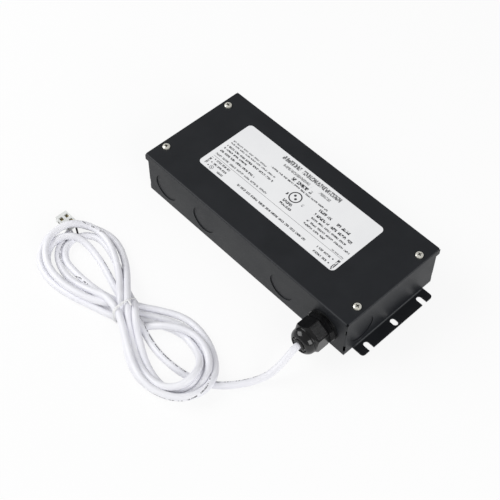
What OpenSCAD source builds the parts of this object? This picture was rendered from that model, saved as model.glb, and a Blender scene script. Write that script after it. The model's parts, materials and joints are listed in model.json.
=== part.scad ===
// Hard-wired power supply in a folded sheet steel case, with a screwed lid, mounting flanges,
// knockouts, a nylon cable gland and a white output cord wound in a tied figure of eight.
// Origin at the middle of the case's underside, +X towards the gland end, -Y out of the gland wall, +Z up.

/* [Case] */
// Outside length of the folded tray
case_l = 251.6; // [235:0.1:270]
// Outside width of the folded tray
case_w = 112.1; // [106:0.1:130]
// Height of the tray's walls
case_h = 48.2; // [46:0.1:60]
// Thickness of the tray's sheet
sheet_t = 1.2; // [1.0:0.1:1.6]
// Outside radius of the tray's bottom bends
bend_r = 2.0; // [1.7:0.1:3.0]
// Outside radius of the tray's upright corners
corner_r = 1.5; // [1.0:0.1:1.6]

/* [Lid] */
// Thickness of the lid's sheet
lid_t = 1.0; // [0.8:0.1:1.4]
// Depth of the lid's rim from its top face
lid_rim = 7.5; // [6:0.1:9]
// Gap between the lid's rim and the tray's walls
lid_gap = 0.2; // [0.1:0.05:0.4]
// Outside radius of the lid's bends
lid_bend_r = 1.5; // [1.4:0.1:2.5]
// Distance of the lid screws from the outside of the end walls
screw_inset = 6.4; // [6:0.1:8]
// Distance between the two lid screws at one end
screw_pitch = 76.2; // [60:0.1:84]
// Radius of the lid screws' threads
screw_r = 1.65; // [1.4:0.05:1.75]
// Radius of the lid screws' heads
screw_head_r = 3.4; // [3.0:0.1:4.0]
// Height of the lid screws' heads
screw_head_h = 2.1; // [1.8:0.1:2.6]

/* [Flanges and knockouts] */
// How far each mounting flange stands out from its end wall
flange_out = 11.9; // [11:0.1:16]
// Width of the mounting flanges
flange_w = 89.2; // [84:0.1:100]
// Radius of the flanges' outer corners
flange_r = 3.0; // [1:0.1:4]
// Width of the open slots near the flanges' ends
open_slot_w = 5.5; // [4.5:0.1:6]
// Distance between the two open slots of a flange
open_slot_pitch = 67.4; // [56:0.1:72]
// Width of the closed slot in the middle of a flange
mid_slot_w = 5.3; // [4.5:0.1:6]
// Length of the closed slot, end to end
mid_slot_l = 7.8; // [6.5:0.1:8]
// Radius of the knockouts
knockout_r = 13.65; // [11:0.05:14]
// How far the knockouts are pressed inwards
knockout_in = 0.8; // [0.4:0.1:0.9]
// Height of the knockouts' and the gland's centres
port_z = 21.5; // [19:0.1:24]
// Distance of the outer pair of ports from the ends of the case
port_inset = 24.6; // [22:0.1:27]
// Distance of the inner pair of ports from the middle of the case
port_near_x = 50.0; // [40:0.1:60]
// Distance of the end walls' knockouts from the middle plane
end_port_y = 36.0; // [28:0.1:38]

/* [Label] */
// Length of the rating label
label_l = 168.6; // [120:0.1:200]
// Width of the rating label
label_w = 65.3; // [40:0.1:80]
// Radius of the label's corners
label_r = 4.2; // [1:0.1:8]
// Thickness of the label
label_t = 0.2; // [0.1:0.05:0.4]

/* [Cable gland] */
// Radius of the cord's jacket
cord_r = 3.2; // [2.8:0.05:3.6]
// Radius of the gland's thread through the wall
gland_thread_r = 10.2; // [9.6:0.1:10.6]
// Distance across the flats of the gland's hexagons
gland_flats = 25.8; // [25:0.1:28]
// Radius of the gland body's round flange
gland_flange_r = 15.5; // [14.9:0.1:17]
// Thickness of the gasket under the gland
gasket_t = 1.0; // [0.6:0.1:1.6]
// Length of the gland's nut
gland_nut_l = 22.4; // [21:0.1:25]
// Radius of the hole in the front of the gland's nut
gland_mouth_r = 7.9; // [7:0.1:8.2]
// Length of the hexagon on the gland's nut
gland_hex_l = 12.0; // [10:0.1:13]
// Thickness of the locknut inside the wall
locknut_t = 5.0; // [4:0.1:6]

/* [Circuit board] */
// Length of the circuit board
board_l = 164; // [158:0.5:176]
// Width of the circuit board
board_w = 96; // [94:0.5:104]
// Thickness of the circuit board
board_t = 1.6; // [1.2:0.1:2.0]
// Height of the posts under the circuit board
post_h = 7.0; // [6:0.1:8]
// Thickness of the insulating sheet under the circuit board
liner_t = 0.4; // [0.2:0.1:0.8]
// Distance of the board's posts from its edges
post_inset = 5.0; // [4:0.1:6]
// Diameter of the two mains capacitors
bulk_d = 18; // [14:0.5:20]
// Height of the two mains capacitors
bulk_h = 30; // [24:0.5:34]
// Diameter of the four output capacitors
out_cap_d = 10; // [8:0.5:11]
// Height of the four output capacitors
out_cap_h = 22; // [16:0.5:28]

/* [Hidden] */
$fn = 72;

// Hairline that keeps cutters clear of the faces they cut through
eps = 0.01;
// Clearance between pieces that slide into one another
fit = 0.3;
lid_l = case_l + 2 * (lid_gap + lid_t);
lid_w = case_w + 2 * (lid_gap + lid_t);
top_z = case_h + lid_t;
// The walls stop below the lid's inner bend, and the screw tabs reach up to its flat face
lid_inner_r = max(lid_bend_r - lid_t, 0.2);
wall_h = case_h - lid_inner_r;
screw_x = case_l / 2 - screw_inset;
screw_y = screw_pitch / 2;

// Small plan shapes
module rounded_rect(l, w, r) {
    square([l - 2 * r, w], center = true);
    square([l, w - 2 * r], center = true);
    for (sx = [-1, 1], sy = [-1, 1])
        translate([sx * (l / 2 - r), sy * (w / 2 - r)]) circle(r);
}

module slot_plan(l, w) {
    square([l - w, w], center = true);
    for (s = [-1, 1]) translate([s * (l - w) / 2, 0]) circle(w / 2);
}

// A box between two corners
module block(low, high) {
    translate(low) cube(high - low);
}

// Side view of a pan: square at the top, with bends of radius r at the bottom
module pan_profile(l, h, r) {
    translate([-l / 2, r]) square([l, h - r]);
    translate([-l / 2 + r, 0]) square([l - 2 * r, r + eps]);
    for (s = [-1, 1]) translate([s * (l / 2 - r), r]) circle(r);
}

// Outer form of a folded pan, standing on z = 0, with mitred bends and upright corners of radius rc
module pan_form(l, w, h, r, rc) {
    intersection() {
        translate([0, w, 0]) rotate([90, 0, 0]) linear_extrude(2 * w) pan_profile(l, h, r);
        translate([-l, 0, 0]) rotate([90, 0, 90]) linear_extrude(2 * l) pan_profile(w, h, r);
        linear_extrude(h) rounded_rect(l, w, rc);
    }
}

// The folded pan itself, a sheet of thickness t
module pan(l, w, h, t, r, rc) {
    difference() {
        pan_form(l, w, h, r, rc);
        translate([0, 0, t]) pan_form(l - 2 * t, w - 2 * t, h, max(r - t, 0.2), max(rc - t, 0.2));
    }
}

// Turns children so that their +Z runs out of the front wall at x
module on_front(x) {
    translate([x, -case_w / 2, port_z]) rotate([90, 0, 0]) children();
}

// Turns children so that their +Z runs out of the end wall on side s
module on_end(s) {
    translate([s * case_l / 2, -end_port_y, port_z]) rotate([0, s * 90, 0]) children();
}

port_far_x = case_l / 2 - port_inset;
front_knockouts = [-port_far_x, -port_near_x, port_near_x];

// Half-sheared disc: cut on the outside, proud on the inside
module knockout_cut() { translate([0, 0, -knockout_in]) cylinder(h = knockout_in + 1, r = knockout_r); }
module knockout_boss() {
    translate([0, 0, -sheet_t - knockout_in]) cylinder(h = knockout_in + eps, r = knockout_r);
}

// Relief slots at the tray's upright corners, low notch and upper slit
corner_notch_z = [6.2, 14.2];
corner_slit_z = [31.6, 37.6];
module corner_cut(z, w) {
    for (sx = [-1, 1], sy = [-1, 1])
        translate([sx * case_l / 2, sy * case_w / 2, z[0]]) rotate([0, 0, sx * sy * 45])
            translate([-4, -w / 2, 0]) cube([8, w, z[1] - z[0]]);
}

// Tabs folded in from the end walls that take the lid screws
tab_w = 18;
tab_l = 11.5;
burr_r = screw_r + 1.5;
burr_h = 2.6;
tap_r = screw_r + 0.05;
module lid_tab() {
    wall_x = case_l / 2 - sheet_t;
    tab_z = case_h - sheet_t;
    fold_x = case_l / 2 - lid_inner_r;
    block([wall_x - tab_l, screw_y - tab_w / 2, tab_z], [fold_x, screw_y + tab_w / 2, case_h]);
    translate([screw_x, screw_y, tab_z - burr_h]) cylinder(h = burr_h + eps, r = burr_r);
}

// Mounting flange of the +X end, an ear with two open slots and a closed one between them
flange_x = case_l / 2 + flange_out;
slot_end_x = flange_x - 6.2;
mid_slot_x = flange_x - 5.3;
root_r = 0.8;
module flange() {
    difference() {
        linear_extrude(sheet_t) difference() {
            translate([flange_x - flange_out, 0]) rounded_rect(2 * flange_out, flange_w, flange_r);
            for (s = [-1, 1]) translate([slot_end_x, s * open_slot_pitch / 2]) {
                circle(open_slot_w / 2);
                translate([0, -open_slot_w / 2]) square([flange_out, open_slot_w]);
            }
            translate([mid_slot_x, 0]) slot_plan(mid_slot_l, mid_slot_w);
            translate([case_l / 2 - bend_r - flange_out, 0])
                square([2 * flange_out, flange_w + 2], center = true);
        }
    }
    // Bend between the flange and the end wall
    translate([case_l / 2, flange_w / 2 - flange_r, sheet_t]) rotate([90, 0, 0])
        linear_extrude(flange_w - 2 * flange_r) difference() {
            translate([-root_r / 2, -eps]) square([1.5 * root_r, root_r]);
            translate([root_r, root_r]) circle(root_r);
        }
}

module case_tray() {
    color([0.13, 0.135, 0.145]) difference() {
        union() {
            difference() {
                pan(case_l, case_w, wall_h, sheet_t, bend_r, corner_r);
                for (x = front_knockouts) on_front(x) knockout_cut();
                for (s = [-1, 1]) on_end(s) knockout_cut();
                corner_cut(corner_notch_z, 2.0);
                corner_cut(corner_slit_z, 1.0);
            }
            for (x = front_knockouts) on_front(x) knockout_boss();
            for (s = [-1, 1]) on_end(s) knockout_boss();
            for (sx = [0, 1], sy = [0, 1]) mirror([sx, 0, 0]) mirror([0, sy, 0]) lid_tab();
            for (s = [0, 1]) mirror([s, 0, 0]) flange();
        }
        on_front(port_far_x) translate([0, 0, -3]) cylinder(h = 6, r = gland_hole_r);
        for (sx = [-1, 1], sy = [-1, 1])
            translate([sx * screw_x, sy * screw_y, case_h - 10]) cylinder(h = 20, r = tap_r);
    }
}

// Lid: a shallow pan turned over, with open seams and relief holes at its corners
relief_r = 1.0;
seam_w = 0.3;
module lid() {
    color([0.13, 0.135, 0.145]) difference() {
        translate([0, 0, top_z]) mirror([0, 0, 1])
            pan(lid_l, lid_w, lid_rim, lid_t, lid_bend_r, 0.4);
        for (sx = [-1, 1], sy = [-1, 1]) translate([sx * lid_l / 2, sy * lid_w / 2, 0]) {
            translate([-sx * 0.9, -sy * 0.9, top_z - 2.4]) cylinder(h = 4, r = relief_r);
            rotate([0, 0, sx * sy * 45]) translate([-3, -seam_w / 2, 0]) cube([6, seam_w, top_z - 2]);
        }
        for (sx = [-1, 1], sy = [-1, 1])
            translate([sx * screw_x, sy * screw_y, 0]) cylinder(h = 2 * top_z, r = screw_r + fit);
    }
}

// Pan-head screw with a cross recess, its head standing on z = 0
module pan_screw(r, head_r, head_h, length) {
    difference() {
        union() {
            rotate_extrude() intersection() {
                translate([0, head_h - 2.1 * head_r]) circle(2.1 * head_r);
                square([head_r, head_h]);
            }
            translate([0, 0, -length]) cylinder(h = length + eps, r = r);
        }
        for (a = [0, 90]) rotate([0, 0, a])
            translate([-0.55 * head_r, -0.15 * head_r, 0.4 * head_h])
                cube([1.1 * head_r, 0.3 * head_r, head_h]);
    }
}

lid_screw_l = 6.0;
module lid_screws() {
    color([0.80, 0.79, 0.72]) for (sx = [-1, 1], sy = [-1, 1])
        translate([sx * screw_x, sy * screw_y, top_z]) rotate([0, 0, 25 + 40 * sx * sy])
            pan_screw(screw_r, screw_head_r, screw_head_h, lid_screw_l);
}

label_x = -3.2;
label_y = 4.7;
module rating_label() {
    color([0.93, 0.93, 0.94]) translate([label_x, label_y, top_z])
        linear_extrude(label_t) rounded_rect(label_l, label_w, label_r);
}

// Cable gland, drawn along +Z with z = 0 on the wall's outside and turned into place
gland_hole_r = gland_thread_r + fit;
gland_corner_r = gland_flats / sqrt(3);
body_flange_t = 2.0;
body_hex_end = gasket_t + body_flange_t + 3.7;
collar_end = 17.5;
nut_back = body_hex_end + 0.5;
nut_bore_r = 11.4;
collar_r = nut_bore_r - fit;
inner_end = -sheet_t - locknut_t - 2;
bore_r = 6.9;
hex_turn = 0.6;
gland_reach = nut_back + gland_nut_l;

module at_gland() { on_front(port_far_x) children(); }

// Hexagon whose corners are turned down by a0 at its back and by a1 over a length of b1 at its front
module turned_hex(r, z0, z1, a0, a1, b1) {
    intersection() {
        translate([0, 0, z0]) linear_extrude(z1 - z0) rotate(90) circle(r, $fn = 6);
        rotate_extrude() polygon([[0, z0], [r - a0, z0], [r + eps, z0 + hex_turn * a0],
            [r + eps, z1 - b1], [r - a1, z1], [0, z1]]);
    }
}

// Disc with rounded outer edges
module round_disc(r, z0, z1) {
    edge = (z1 - z0) / 2;
    rotate_extrude() {
        translate([0, z0]) square([r - edge, z1 - z0]);
        intersection() {
            translate([r - edge, z0 + edge]) circle(edge);
            translate([0, z0]) square([r, z1 - z0]);
        }
    }
}

module gland_gasket() {
    color([0.10, 0.10, 0.10]) at_gland() difference() {
        cylinder(h = gasket_t, r = gland_flange_r - 0.9);
        translate([0, 0, -1]) cylinder(h = gasket_t + 2, r = gland_hole_r);
    }
}

claw_seat_z = 9.0;
claw_seat_r = 9.6;
module gland_body() {
    hex_z = gasket_t + body_flange_t;
    color([0.07, 0.07, 0.075]) at_gland() difference() {
        union() {
            translate([0, 0, inner_end]) cylinder(h = gasket_t - inner_end + 1, r = gland_thread_r);
            translate([0, 0, gasket_t]) cylinder(h = body_flange_t, r = gland_flange_r);
            turned_hex(gland_corner_r, hex_z - eps, body_hex_end, 0, 0.9, hex_turn);
            translate([0, 0, hex_z]) cylinder(h = collar_end - hex_z, r = collar_r);
        }
        translate([0, 0, inner_end - 1]) cylinder(h = collar_end - inner_end, r = bore_r);
        translate([0, 0, claw_seat_z]) cylinder(h = collar_end, r = claw_seat_r);
    }
}

// Hollow of the nut: a threaded bore, then a cone that closes the clamping ring
cone_z = collar_end + 0.7;
cone_back_r = nut_bore_r - 0.5;
cone_start = cone_z + 2.4;
cone_end = gland_reach - 2.4;
function cone_r(z) =
    cone_back_r + (gland_mouth_r - cone_back_r) * (z - cone_start) / (cone_end - cone_start);

// Clamping ring with fingers that the nut's cone closes on the seal
claw_fingers = 10;
claw_slot_w = 1.2;
claw_r = claw_seat_r - fit;
claw_tip_z = gland_reach - 0.7;
claw_tip_in = 5.6;
module gland_claw() {
    follow_z = 23.4;
    color([0.12, 0.12, 0.125]) at_gland() difference() {
        rotate_extrude() polygon([
            [bore_r, claw_seat_z], [claw_r, claw_seat_z], [claw_r, follow_z - 0.6],
            [cone_r(follow_z) - fit, follow_z], [gland_mouth_r - fit, cone_end],
            [gland_mouth_r - fit, claw_tip_z - 0.5], [gland_mouth_r - 0.8, claw_tip_z],
            [claw_tip_in, claw_tip_z], [claw_tip_in, 24], [bore_r, 21]]);
        for (i = [0 : claw_fingers - 1]) rotate([0, 0, i * 360 / claw_fingers + 10])
            translate([0, -claw_slot_w / 2, collar_end - 0.5]) cube([20, claw_slot_w, 20]);
    }
}

// Rubber seal that closes on the cord and stands a little proud of the nut
module gland_seal() {
    in_r = cord_r + 0.05;
    body_r = bore_r - 0.2;
    tip_r = claw_tip_in - 0.2;
    front_z = gland_reach + 0.7;
    color([0.16, 0.16, 0.17]) at_gland() rotate_extrude() polygon([
        [in_r, claw_seat_z], [body_r, claw_seat_z], [body_r, 20], [tip_r, 23.5], [tip_r, front_z - 0.6],
        [tip_r - 0.5, front_z], [in_r + 0.5, front_z], [in_r, front_z - 0.4]]);
}

// Nut: a hexagon with turned corners, a round lip, a groove and a dome with an open mouth
lip_r = gland_flats / 2 - 0.05;
lip_t = 1.6;
nut_chamfer = 2.0;
groove_w = 0.5;
groove_deep = 0.7;
rim_t = 0.7;
module gland_nut() {
    lip_z = nut_back + gland_hex_l + nut_chamfer;
    dome_z = lip_z + lip_t + groove_w;
    dome_r = lip_r - 0.25;
    // The dome's arc leaves the side upright and meets the rim round the mouth
    drop = dome_r - gland_mouth_r - rim_t;
    rise = gland_reach - dome_z;
    dome_bend = (drop * drop + rise * rise) / (2 * drop);
    color([0.06, 0.06, 0.065]) at_gland() difference() {
        union() {
            turned_hex(gland_corner_r, nut_back, lip_z + 0.3,
                0.7, gland_corner_r - lip_r + 0.4, nut_chamfer + 0.3);
            round_disc(lip_r, lip_z, lip_z + lip_t);
            translate([0, 0, lip_z]) cylinder(h = dome_z - lip_z + eps, r = lip_r - groove_deep);
            rotate_extrude() intersection() {
                translate([dome_r - dome_bend, dome_z]) circle(dome_bend);
                translate([0, dome_z]) square([dome_r, rise]);
            }
        }
        translate([0, 0, nut_back - 1]) cylinder(h = cone_z - nut_back + 1, r = nut_bore_r);
        rotate_extrude() polygon([[0, cone_z - eps], [nut_bore_r, cone_z - eps],
            [cone_back_r, cone_start], [gland_mouth_r, cone_end], [0, cone_end]]);
        cylinder(h = gland_reach + 10, r = gland_mouth_r);
        // Small lead-in round the mouth
        rotate_extrude() polygon([[0, gland_reach - 0.4], [gland_mouth_r, gland_reach - 0.4],
            [gland_mouth_r + 0.4, gland_reach + eps], [0, gland_reach + eps]]);
    }
}

module gland_locknut() {
    color([0.07, 0.07, 0.075]) at_gland() translate([0, 0, -sheet_t - locknut_t]) difference() {
        turned_hex(gland_corner_r + 0.6, 0, locknut_t, 0.9, 0, 0);
        translate([0, 0, -1]) cylinder(h = locknut_t + 2, r = gland_hole_r);
    }
}

module cord_in_gland() {
    color([0.92, 0.92, 0.94]) at_gland() translate([0, 0, inner_end - 4])
        cylinder(h = gland_reach - inner_end + 4, r = cord_r);
}

// Tube of n sides and radius r along a list of points, one closed polyhedron
function unit(v) = v / norm(v);
function along(p, i) = unit(p[min(i + 1, len(p) - 1)] - p[max(i - 1, 0)]);
function side_of(t) = unit(cross(t, abs(t[2]) < 0.9 ? [0, 0, 1] : [1, 0, 0]));
module tube(p, r, n) {
    m = len(p);
    rings = [for (i = [0 : m - 1]) let (t = along(p, i), u = side_of(t), v = cross(t, u))
        for (k = [0 : n - 1]) p[i] + r * (cos(360 * k / n) * u + sin(360 * k / n) * v)];
    faces = concat(
        [[for (k = [0 : n - 1]) k]],
        [for (i = [0 : m - 2], k = [0 : n - 1], half = [0, 1]) let (a = i * n + k, b = i * n + (k + 1) % n)
            half == 0 ? [a, a + n, b + n] : [a, b + n, b]],
        [[for (k = [n - 1 : -1 : 0]) (m - 1) * n + k]]);
    polyhedron(rings, faces, convexity = 4);
}

// Route of the cord from the gland's mouth down to the floor and into the hank, chosen by hand
mouth_y = -case_w / 2 - gland_reach;
lead_route = [
    [port_far_x, mouth_y, port_z], [port_far_x, mouth_y - 5, port_z],
    [101.5, -98, 19.0], [101.0, -106, 13.8], [99.5, -114, 8.8], [96.5, -122, 5.3],
    [92.5, -130, 3.7], [88, -137.5, cord_r], [83.5, -144, cord_r], [78.5, -150, cord_r]];
module cord_lead() {
    color([0.92, 0.92, 0.94]) tube(lead_route, cord_r, 12);
}

// Hank: two round lobes drawn in to a waist, with a pocket round the connector
waist = [-31, -162];
lobe_a = [-110, -156];
lobe_b = [42, -161.5];
lobe_a_r = 39.5;
lobe_b_r = 36.5;
waist_r = 14;
lobe_h = 4 * cord_r;
waist_h = 6 * cord_r;
// Outline of one lobe: two circles and the strip between their outer tangents
module lobe_plan(c, r) {
    d = norm(c - waist);
    a = atan2(c[1] - waist[1], c[0] - waist[0]);
    s = acos((waist_r - r) / d);
    translate(waist) circle(waist_r);
    translate(c) circle(r);
    polygon([for (q = [[waist, waist_r, 1], [waist, waist_r, -1], [c, r, -1], [c, r, 1]])
        q[0] + q[1] * [cos(a + q[2] * s), sin(a + q[2] * s)]]);
}

// Wire tie round the waist, set in a groove of the hank
tie_w = 2.4;
tie_t = 1.0;
tie_bend_r = 3;
tie_in = [2 * waist_r - 2, waist_h - 2 * tie_t];
module tie_frame(w, thick) {
    translate([waist[0] - w / 2, waist[1], waist_h / 2]) rotate([90, 0, 90])
        linear_extrude(w) difference() {
            rounded_rect(tie_in[0] + 2 * thick, tie_in[1] + 2 * thick, tie_bend_r + thick);
            rounded_rect(tie_in[0], tie_in[1], tie_bend_r);
        }
}
module cord_tie() {
    color([0.95, 0.95, 0.96]) tie_frame(tie_w, tie_t);
}

// Cut across the hank where the cord meets it end on
module lead_seat() {
    last = lead_route[len(lead_route) - 1];
    back = lead_route[len(lead_route) - 2] - last;
    translate(last) rotate([0, 0, atan2(back[1], back[0])]) translate([0, -2 * cord_r, -2 * cord_r])
        cube([30, 4 * cord_r, 4 * waist_h]);
}

module cord_hank() {
    color([0.92, 0.92, 0.94]) difference() {
        union() {
            linear_extrude(lobe_h) {
                lobe_plan(lobe_a, lobe_a_r);
                lobe_plan(lobe_b, lobe_b_r);
            }
            translate(waist) linear_extrude(waist_h) slot_plan(6 * waist_r, 2 * waist_r);
        }
        tie_frame(tie_w + 2 * fit, waist_r);
        lead_seat();
        block([connector_x - connector_l - fit, connector_y - pocket_w / 2, -1],
            [pocket_end_x, connector_y + pocket_w / 2, connector_h + fit]);
    }
}

// Two-way plug-in connector on the cord's far end, lying under the outermost strands
connector_l = 17;
connector_w = 12;
connector_h = 6.6;
connector_x = -137;
connector_y = -139.3;
pocket_w = connector_w + 2 * fit;
pocket_end_x = -124;
way_pitch = 5.8;
way_w = 3.8;
way_h = 3.6;
way_floor = 1.4;
window = [4.2, 3.4];
window_x = [-11.5, -4.5];
module connector_shell() {
    color([0.93, 0.93, 0.92]) difference() {
        translate([connector_x - connector_l / 2, connector_y, 0])
            linear_extrude(connector_h) rounded_rect(connector_l, connector_w, 0.8);
        for (s = [-1, 1]) translate([connector_x, connector_y + s * way_pitch / 2, 0]) {
            translate([-connector_l - 1, -way_w / 2, way_floor]) cube([connector_l + 2, way_w, way_h]);
            for (x = window_x) {
                translate([x, 0, connector_h]) cube([window[0], window[1], 4], center = true);
                translate([x, s * connector_w / 4, way_floor + way_h / 2])
                    cube([window[0], connector_w / 2, way_h - 1], center = true);
            }
        }
    }
}

contact_w = 3.2;
contact_t = 0.5;
module connector_contacts() {
    color([0.72, 0.56, 0.25]) for (s = [-1, 1])
        translate([connector_x - connector_l + 1.5, connector_y + s * way_pitch / 2, way_floor])
            difference() {
                translate([0, -contact_w / 2, 0]) cube([connector_l - 4, contact_w, contact_w]);
                translate([-1, contact_t - contact_w / 2, contact_t])
                    cube([connector_l, contact_w - 2 * contact_t, contact_w - 2 * contact_t]);
            }
}

// Thin leads between the connector and the end of the cord's jacket, chosen by hand
connector_lead_r = 0.9;
connector_lead_routes = [
    [[-139.5, -142.2, 3.0], [-135.0, -142.4, 3.0], [-131.0, -143.4, 3.0], [-127.5, -143.8, 3.0],
     [-124, -143.8, 3.0]],
    [[-139.5, -136.4, 3.0], [-135.0, -136.6, 3.0], [-131.0, -138.6, 3.2], [-127.5, -140.4, 3.4],
     [-124, -140.4, 3.4]]];
module connector_leads() {
    color([0.10, 0.10, 0.10]) for (route = connector_lead_routes) tube(route, connector_lead_r, 8);
}

// Circuit board and what stands on it
floor_z = sheet_t;
board_z = floor_z + post_h;
deck_z = board_z + board_t;
post_x = board_l / 2 - post_inset;
post_y = board_w / 2 - post_inset;
post_r = 3.0;
module at_posts() {
    for (sx = [-1, 1], sy = [-1, 1]) translate([sx * post_x, sy * post_y, 0]) children();
}

module liner_sheet() {
    color([0.85, 0.84, 0.72]) translate([0, 0, floor_z]) linear_extrude(liner_t) difference() {
        square([board_l + 4, board_w + 4], center = true);
        at_posts() circle(post_r + fit);
    }
}

module board_posts() {
    color([0.75, 0.75, 0.76]) at_posts() difference() {
        translate([0, 0, floor_z]) cylinder(h = post_h, r = post_r);
        translate([0, 0, floor_z + 1]) cylinder(h = post_h, r = 1.3);
    }
}

module circuit_board() {
    color([0.10, 0.36, 0.20]) translate([0, 0, board_z]) linear_extrude(board_t) difference() {
        rounded_rect(board_l, board_w, 1.5);
        at_posts() circle(1.6);
    }
}

module board_screws() {
    color([0.75, 0.75, 0.76]) at_posts() translate([0, 0, deck_z]) pan_screw(1.2, 2.7, 1.8, 5.0);
}

// Transformer: a double E core on end, with a round middle leg inside the bobbin
tr = [14, 4];
core_t = 5;
core_d = 16;
core_w = 42;
leg_r = 6.2;
core_z = deck_z + 3.2;
window_h = 18;
core_h = window_h + 2 * core_t;
spool_r = 14.9;
module transformer_core() {
    color([0.20, 0.20, 0.21]) translate([tr[0], tr[1], core_z]) {
        for (z = [0, core_t + window_h])
            translate([-core_d / 2, -core_w / 2, z]) cube([core_d, core_w, core_t]);
        for (s = [-1, 1]) translate([-core_d / 2, s * (core_w - core_t) / 2 - core_t / 2, core_t - eps])
            cube([core_d, core_t, window_h + 2 * eps]);
        translate([0, 0, core_t - eps]) cylinder(h = window_h + 2 * eps, r = leg_r);
    }
}

// Bobbin: a spool round the middle leg, on two legs and a foot frame that stands on the board
cheek_t = 1.0;
spool_wall = 1.0;
spool_z = core_z + core_t + fit;
spool_h = window_h - 2 * fit;
foot_l = 23;
foot_w = 28;
foot_h = 3.0;
module transformer_bobbin() {
    leg_w = foot_w / 2;
    color([0.80, 0.78, 0.66]) translate([tr[0], tr[1], 0]) {
        difference() {
            union() {
                translate([0, 0, spool_z]) {
                    cylinder(h = cheek_t, r = spool_r + 0.4);
                    cylinder(h = spool_h, r = leg_r + fit + spool_wall);
                    translate([0, 0, spool_h - cheek_t]) cylinder(h = cheek_t, r = spool_r + 0.4);
                }
                for (s = [-1, 1]) translate([s * (foot_l / 2 - 1.5) - 1.5, -leg_w / 2, deck_z])
                    cube([3, leg_w, spool_z + cheek_t - deck_z]);
            }
            translate([0, 0, core_z]) cylinder(h = core_h, r = leg_r + fit);
        }
        difference() {
            translate([-foot_l / 2, -foot_w / 2, deck_z]) cube([foot_l, foot_w, foot_h]);
            translate([4.5 - foot_l / 2, 5 - foot_w / 2, deck_z - 1])
                cube([foot_l - 9, foot_w - 10, foot_h + 2]);
        }
    }
}

module transformer_winding() {
    color([0.72, 0.45, 0.20]) translate([tr[0], tr[1], spool_z + cheek_t]) difference() {
        cylinder(h = spool_h - 2 * cheek_t, r = spool_r);
        translate([0, 0, -1]) cylinder(h = window_h + 2, r = leg_r + fit + spool_wall + 0.05);
    }
}

// Round capacitor with a crimped top, standing on z = 0
module round_cap(d, h) {
    rotate_extrude() polygon([[0, 0], [d / 2, 0], [d / 2, 1.6], [d / 2 - 0.5, 2.1], [d / 2, 2.6],
        [d / 2, h - 0.6], [d / 2 - 0.6, h], [d / 2 - 1.4, h], [d / 2 - 1.7, h - 0.5], [0, h - 0.5]]);
}

bulk_at = [-30, 4];
bulk_gap = 2.4;
module mains_capacitors() {
    color([0.16, 0.18, 0.30]) for (s = [-1, 1])
        translate([bulk_at[0], bulk_at[1] + s * (bulk_d + bulk_gap) / 2, deck_z]) round_cap(bulk_d, bulk_h);
}

out_cap_at = [56, -6.6];
out_cap_gap = 1.6;
out_caps = 4;
module output_capacitors() {
    pitch = out_cap_d + out_cap_gap;
    color([0.12, 0.12, 0.13]) for (i = [0 : out_caps - 1])
        translate([out_cap_at[0], out_cap_at[1] + (i - (out_caps - 1) / 2) * pitch, deck_z])
            round_cap(out_cap_d, out_cap_h);
}

film_at = [-58, -6];
film_size = [10, 26, 17];
module film_capacitor() {
    color([0.75, 0.62, 0.20]) translate([film_at[0], film_at[1], deck_z])
        linear_extrude(film_size[2]) rounded_rect(film_size[0], film_size[1], 0.8);
}

varistor_at = [-72, -18];
varistor_r = 7;
varistor_t = 4.4;
varistor_z = 9.5;
module varistor() {
    color([0.15, 0.32, 0.55]) translate([varistor_at[0], varistor_at[1], deck_z]) {
        translate([0, 0, varistor_z]) rotate([90, 0, 0])
            cylinder(h = varistor_t, r = varistor_r, center = true);
        for (s = [-1, 1]) translate([s * 3.7, 0, 0]) cylinder(h = 4, r = 0.5);
    }
}

// Ring core standing flat on the board, and its windings as fat segments round it
module ring_core(r0, r1, h) {
    difference() {
        cylinder(h = h, r = r1);
        translate([0, 0, -1]) cylinder(h = h + 2, r = r0);
    }
}
// Winding of total thickness t that leaves a hairline of air all round the core
air = 0.1;
module ring_winding(r0, r1, h, t, a) {
    rotate([0, 0, -a / 2]) rotate_extrude(angle = a) difference() {
        translate([r0 - t, -t]) square([r1 - r0 + 2 * t, h + 2 * t]);
        translate([r0 - air, -air]) square([r1 - r0 + 2 * air, h + 2 * air]);
    }
}

choke_at = [-58, 26];
choke_r = [6.5, 11.5];
choke_h = 9;
choke_lift = 2.0;
module line_choke_core() {
    color([0.22, 0.22, 0.23]) translate([choke_at[0], choke_at[1], deck_z + choke_lift])
        ring_core(choke_r[0], choke_r[1], choke_h);
}
module line_choke_windings() {
    color([0.74, 0.46, 0.20]) translate([choke_at[0], choke_at[1], deck_z + choke_lift]) for (s = [0, 180])
        rotate([0, 0, s]) ring_winding(choke_r[0], choke_r[1], choke_h, choke_lift, 130);
}

out_choke_at = [38, -32];
out_choke_r = [4.5, 9];
out_choke_h = 8;
out_choke_lift = 1.8;
module output_choke_core() {
    color([0.80, 0.76, 0.30]) translate([out_choke_at[0], out_choke_at[1], deck_z + out_choke_lift])
        ring_core(out_choke_r[0], out_choke_r[1], out_choke_h);
}
module output_choke_winding() {
    color([0.74, 0.46, 0.20]) translate([out_choke_at[0], out_choke_at[1], deck_z + out_choke_lift])
        ring_winding(out_choke_r[0], out_choke_r[1], out_choke_h, out_choke_lift, 300);
}

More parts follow.
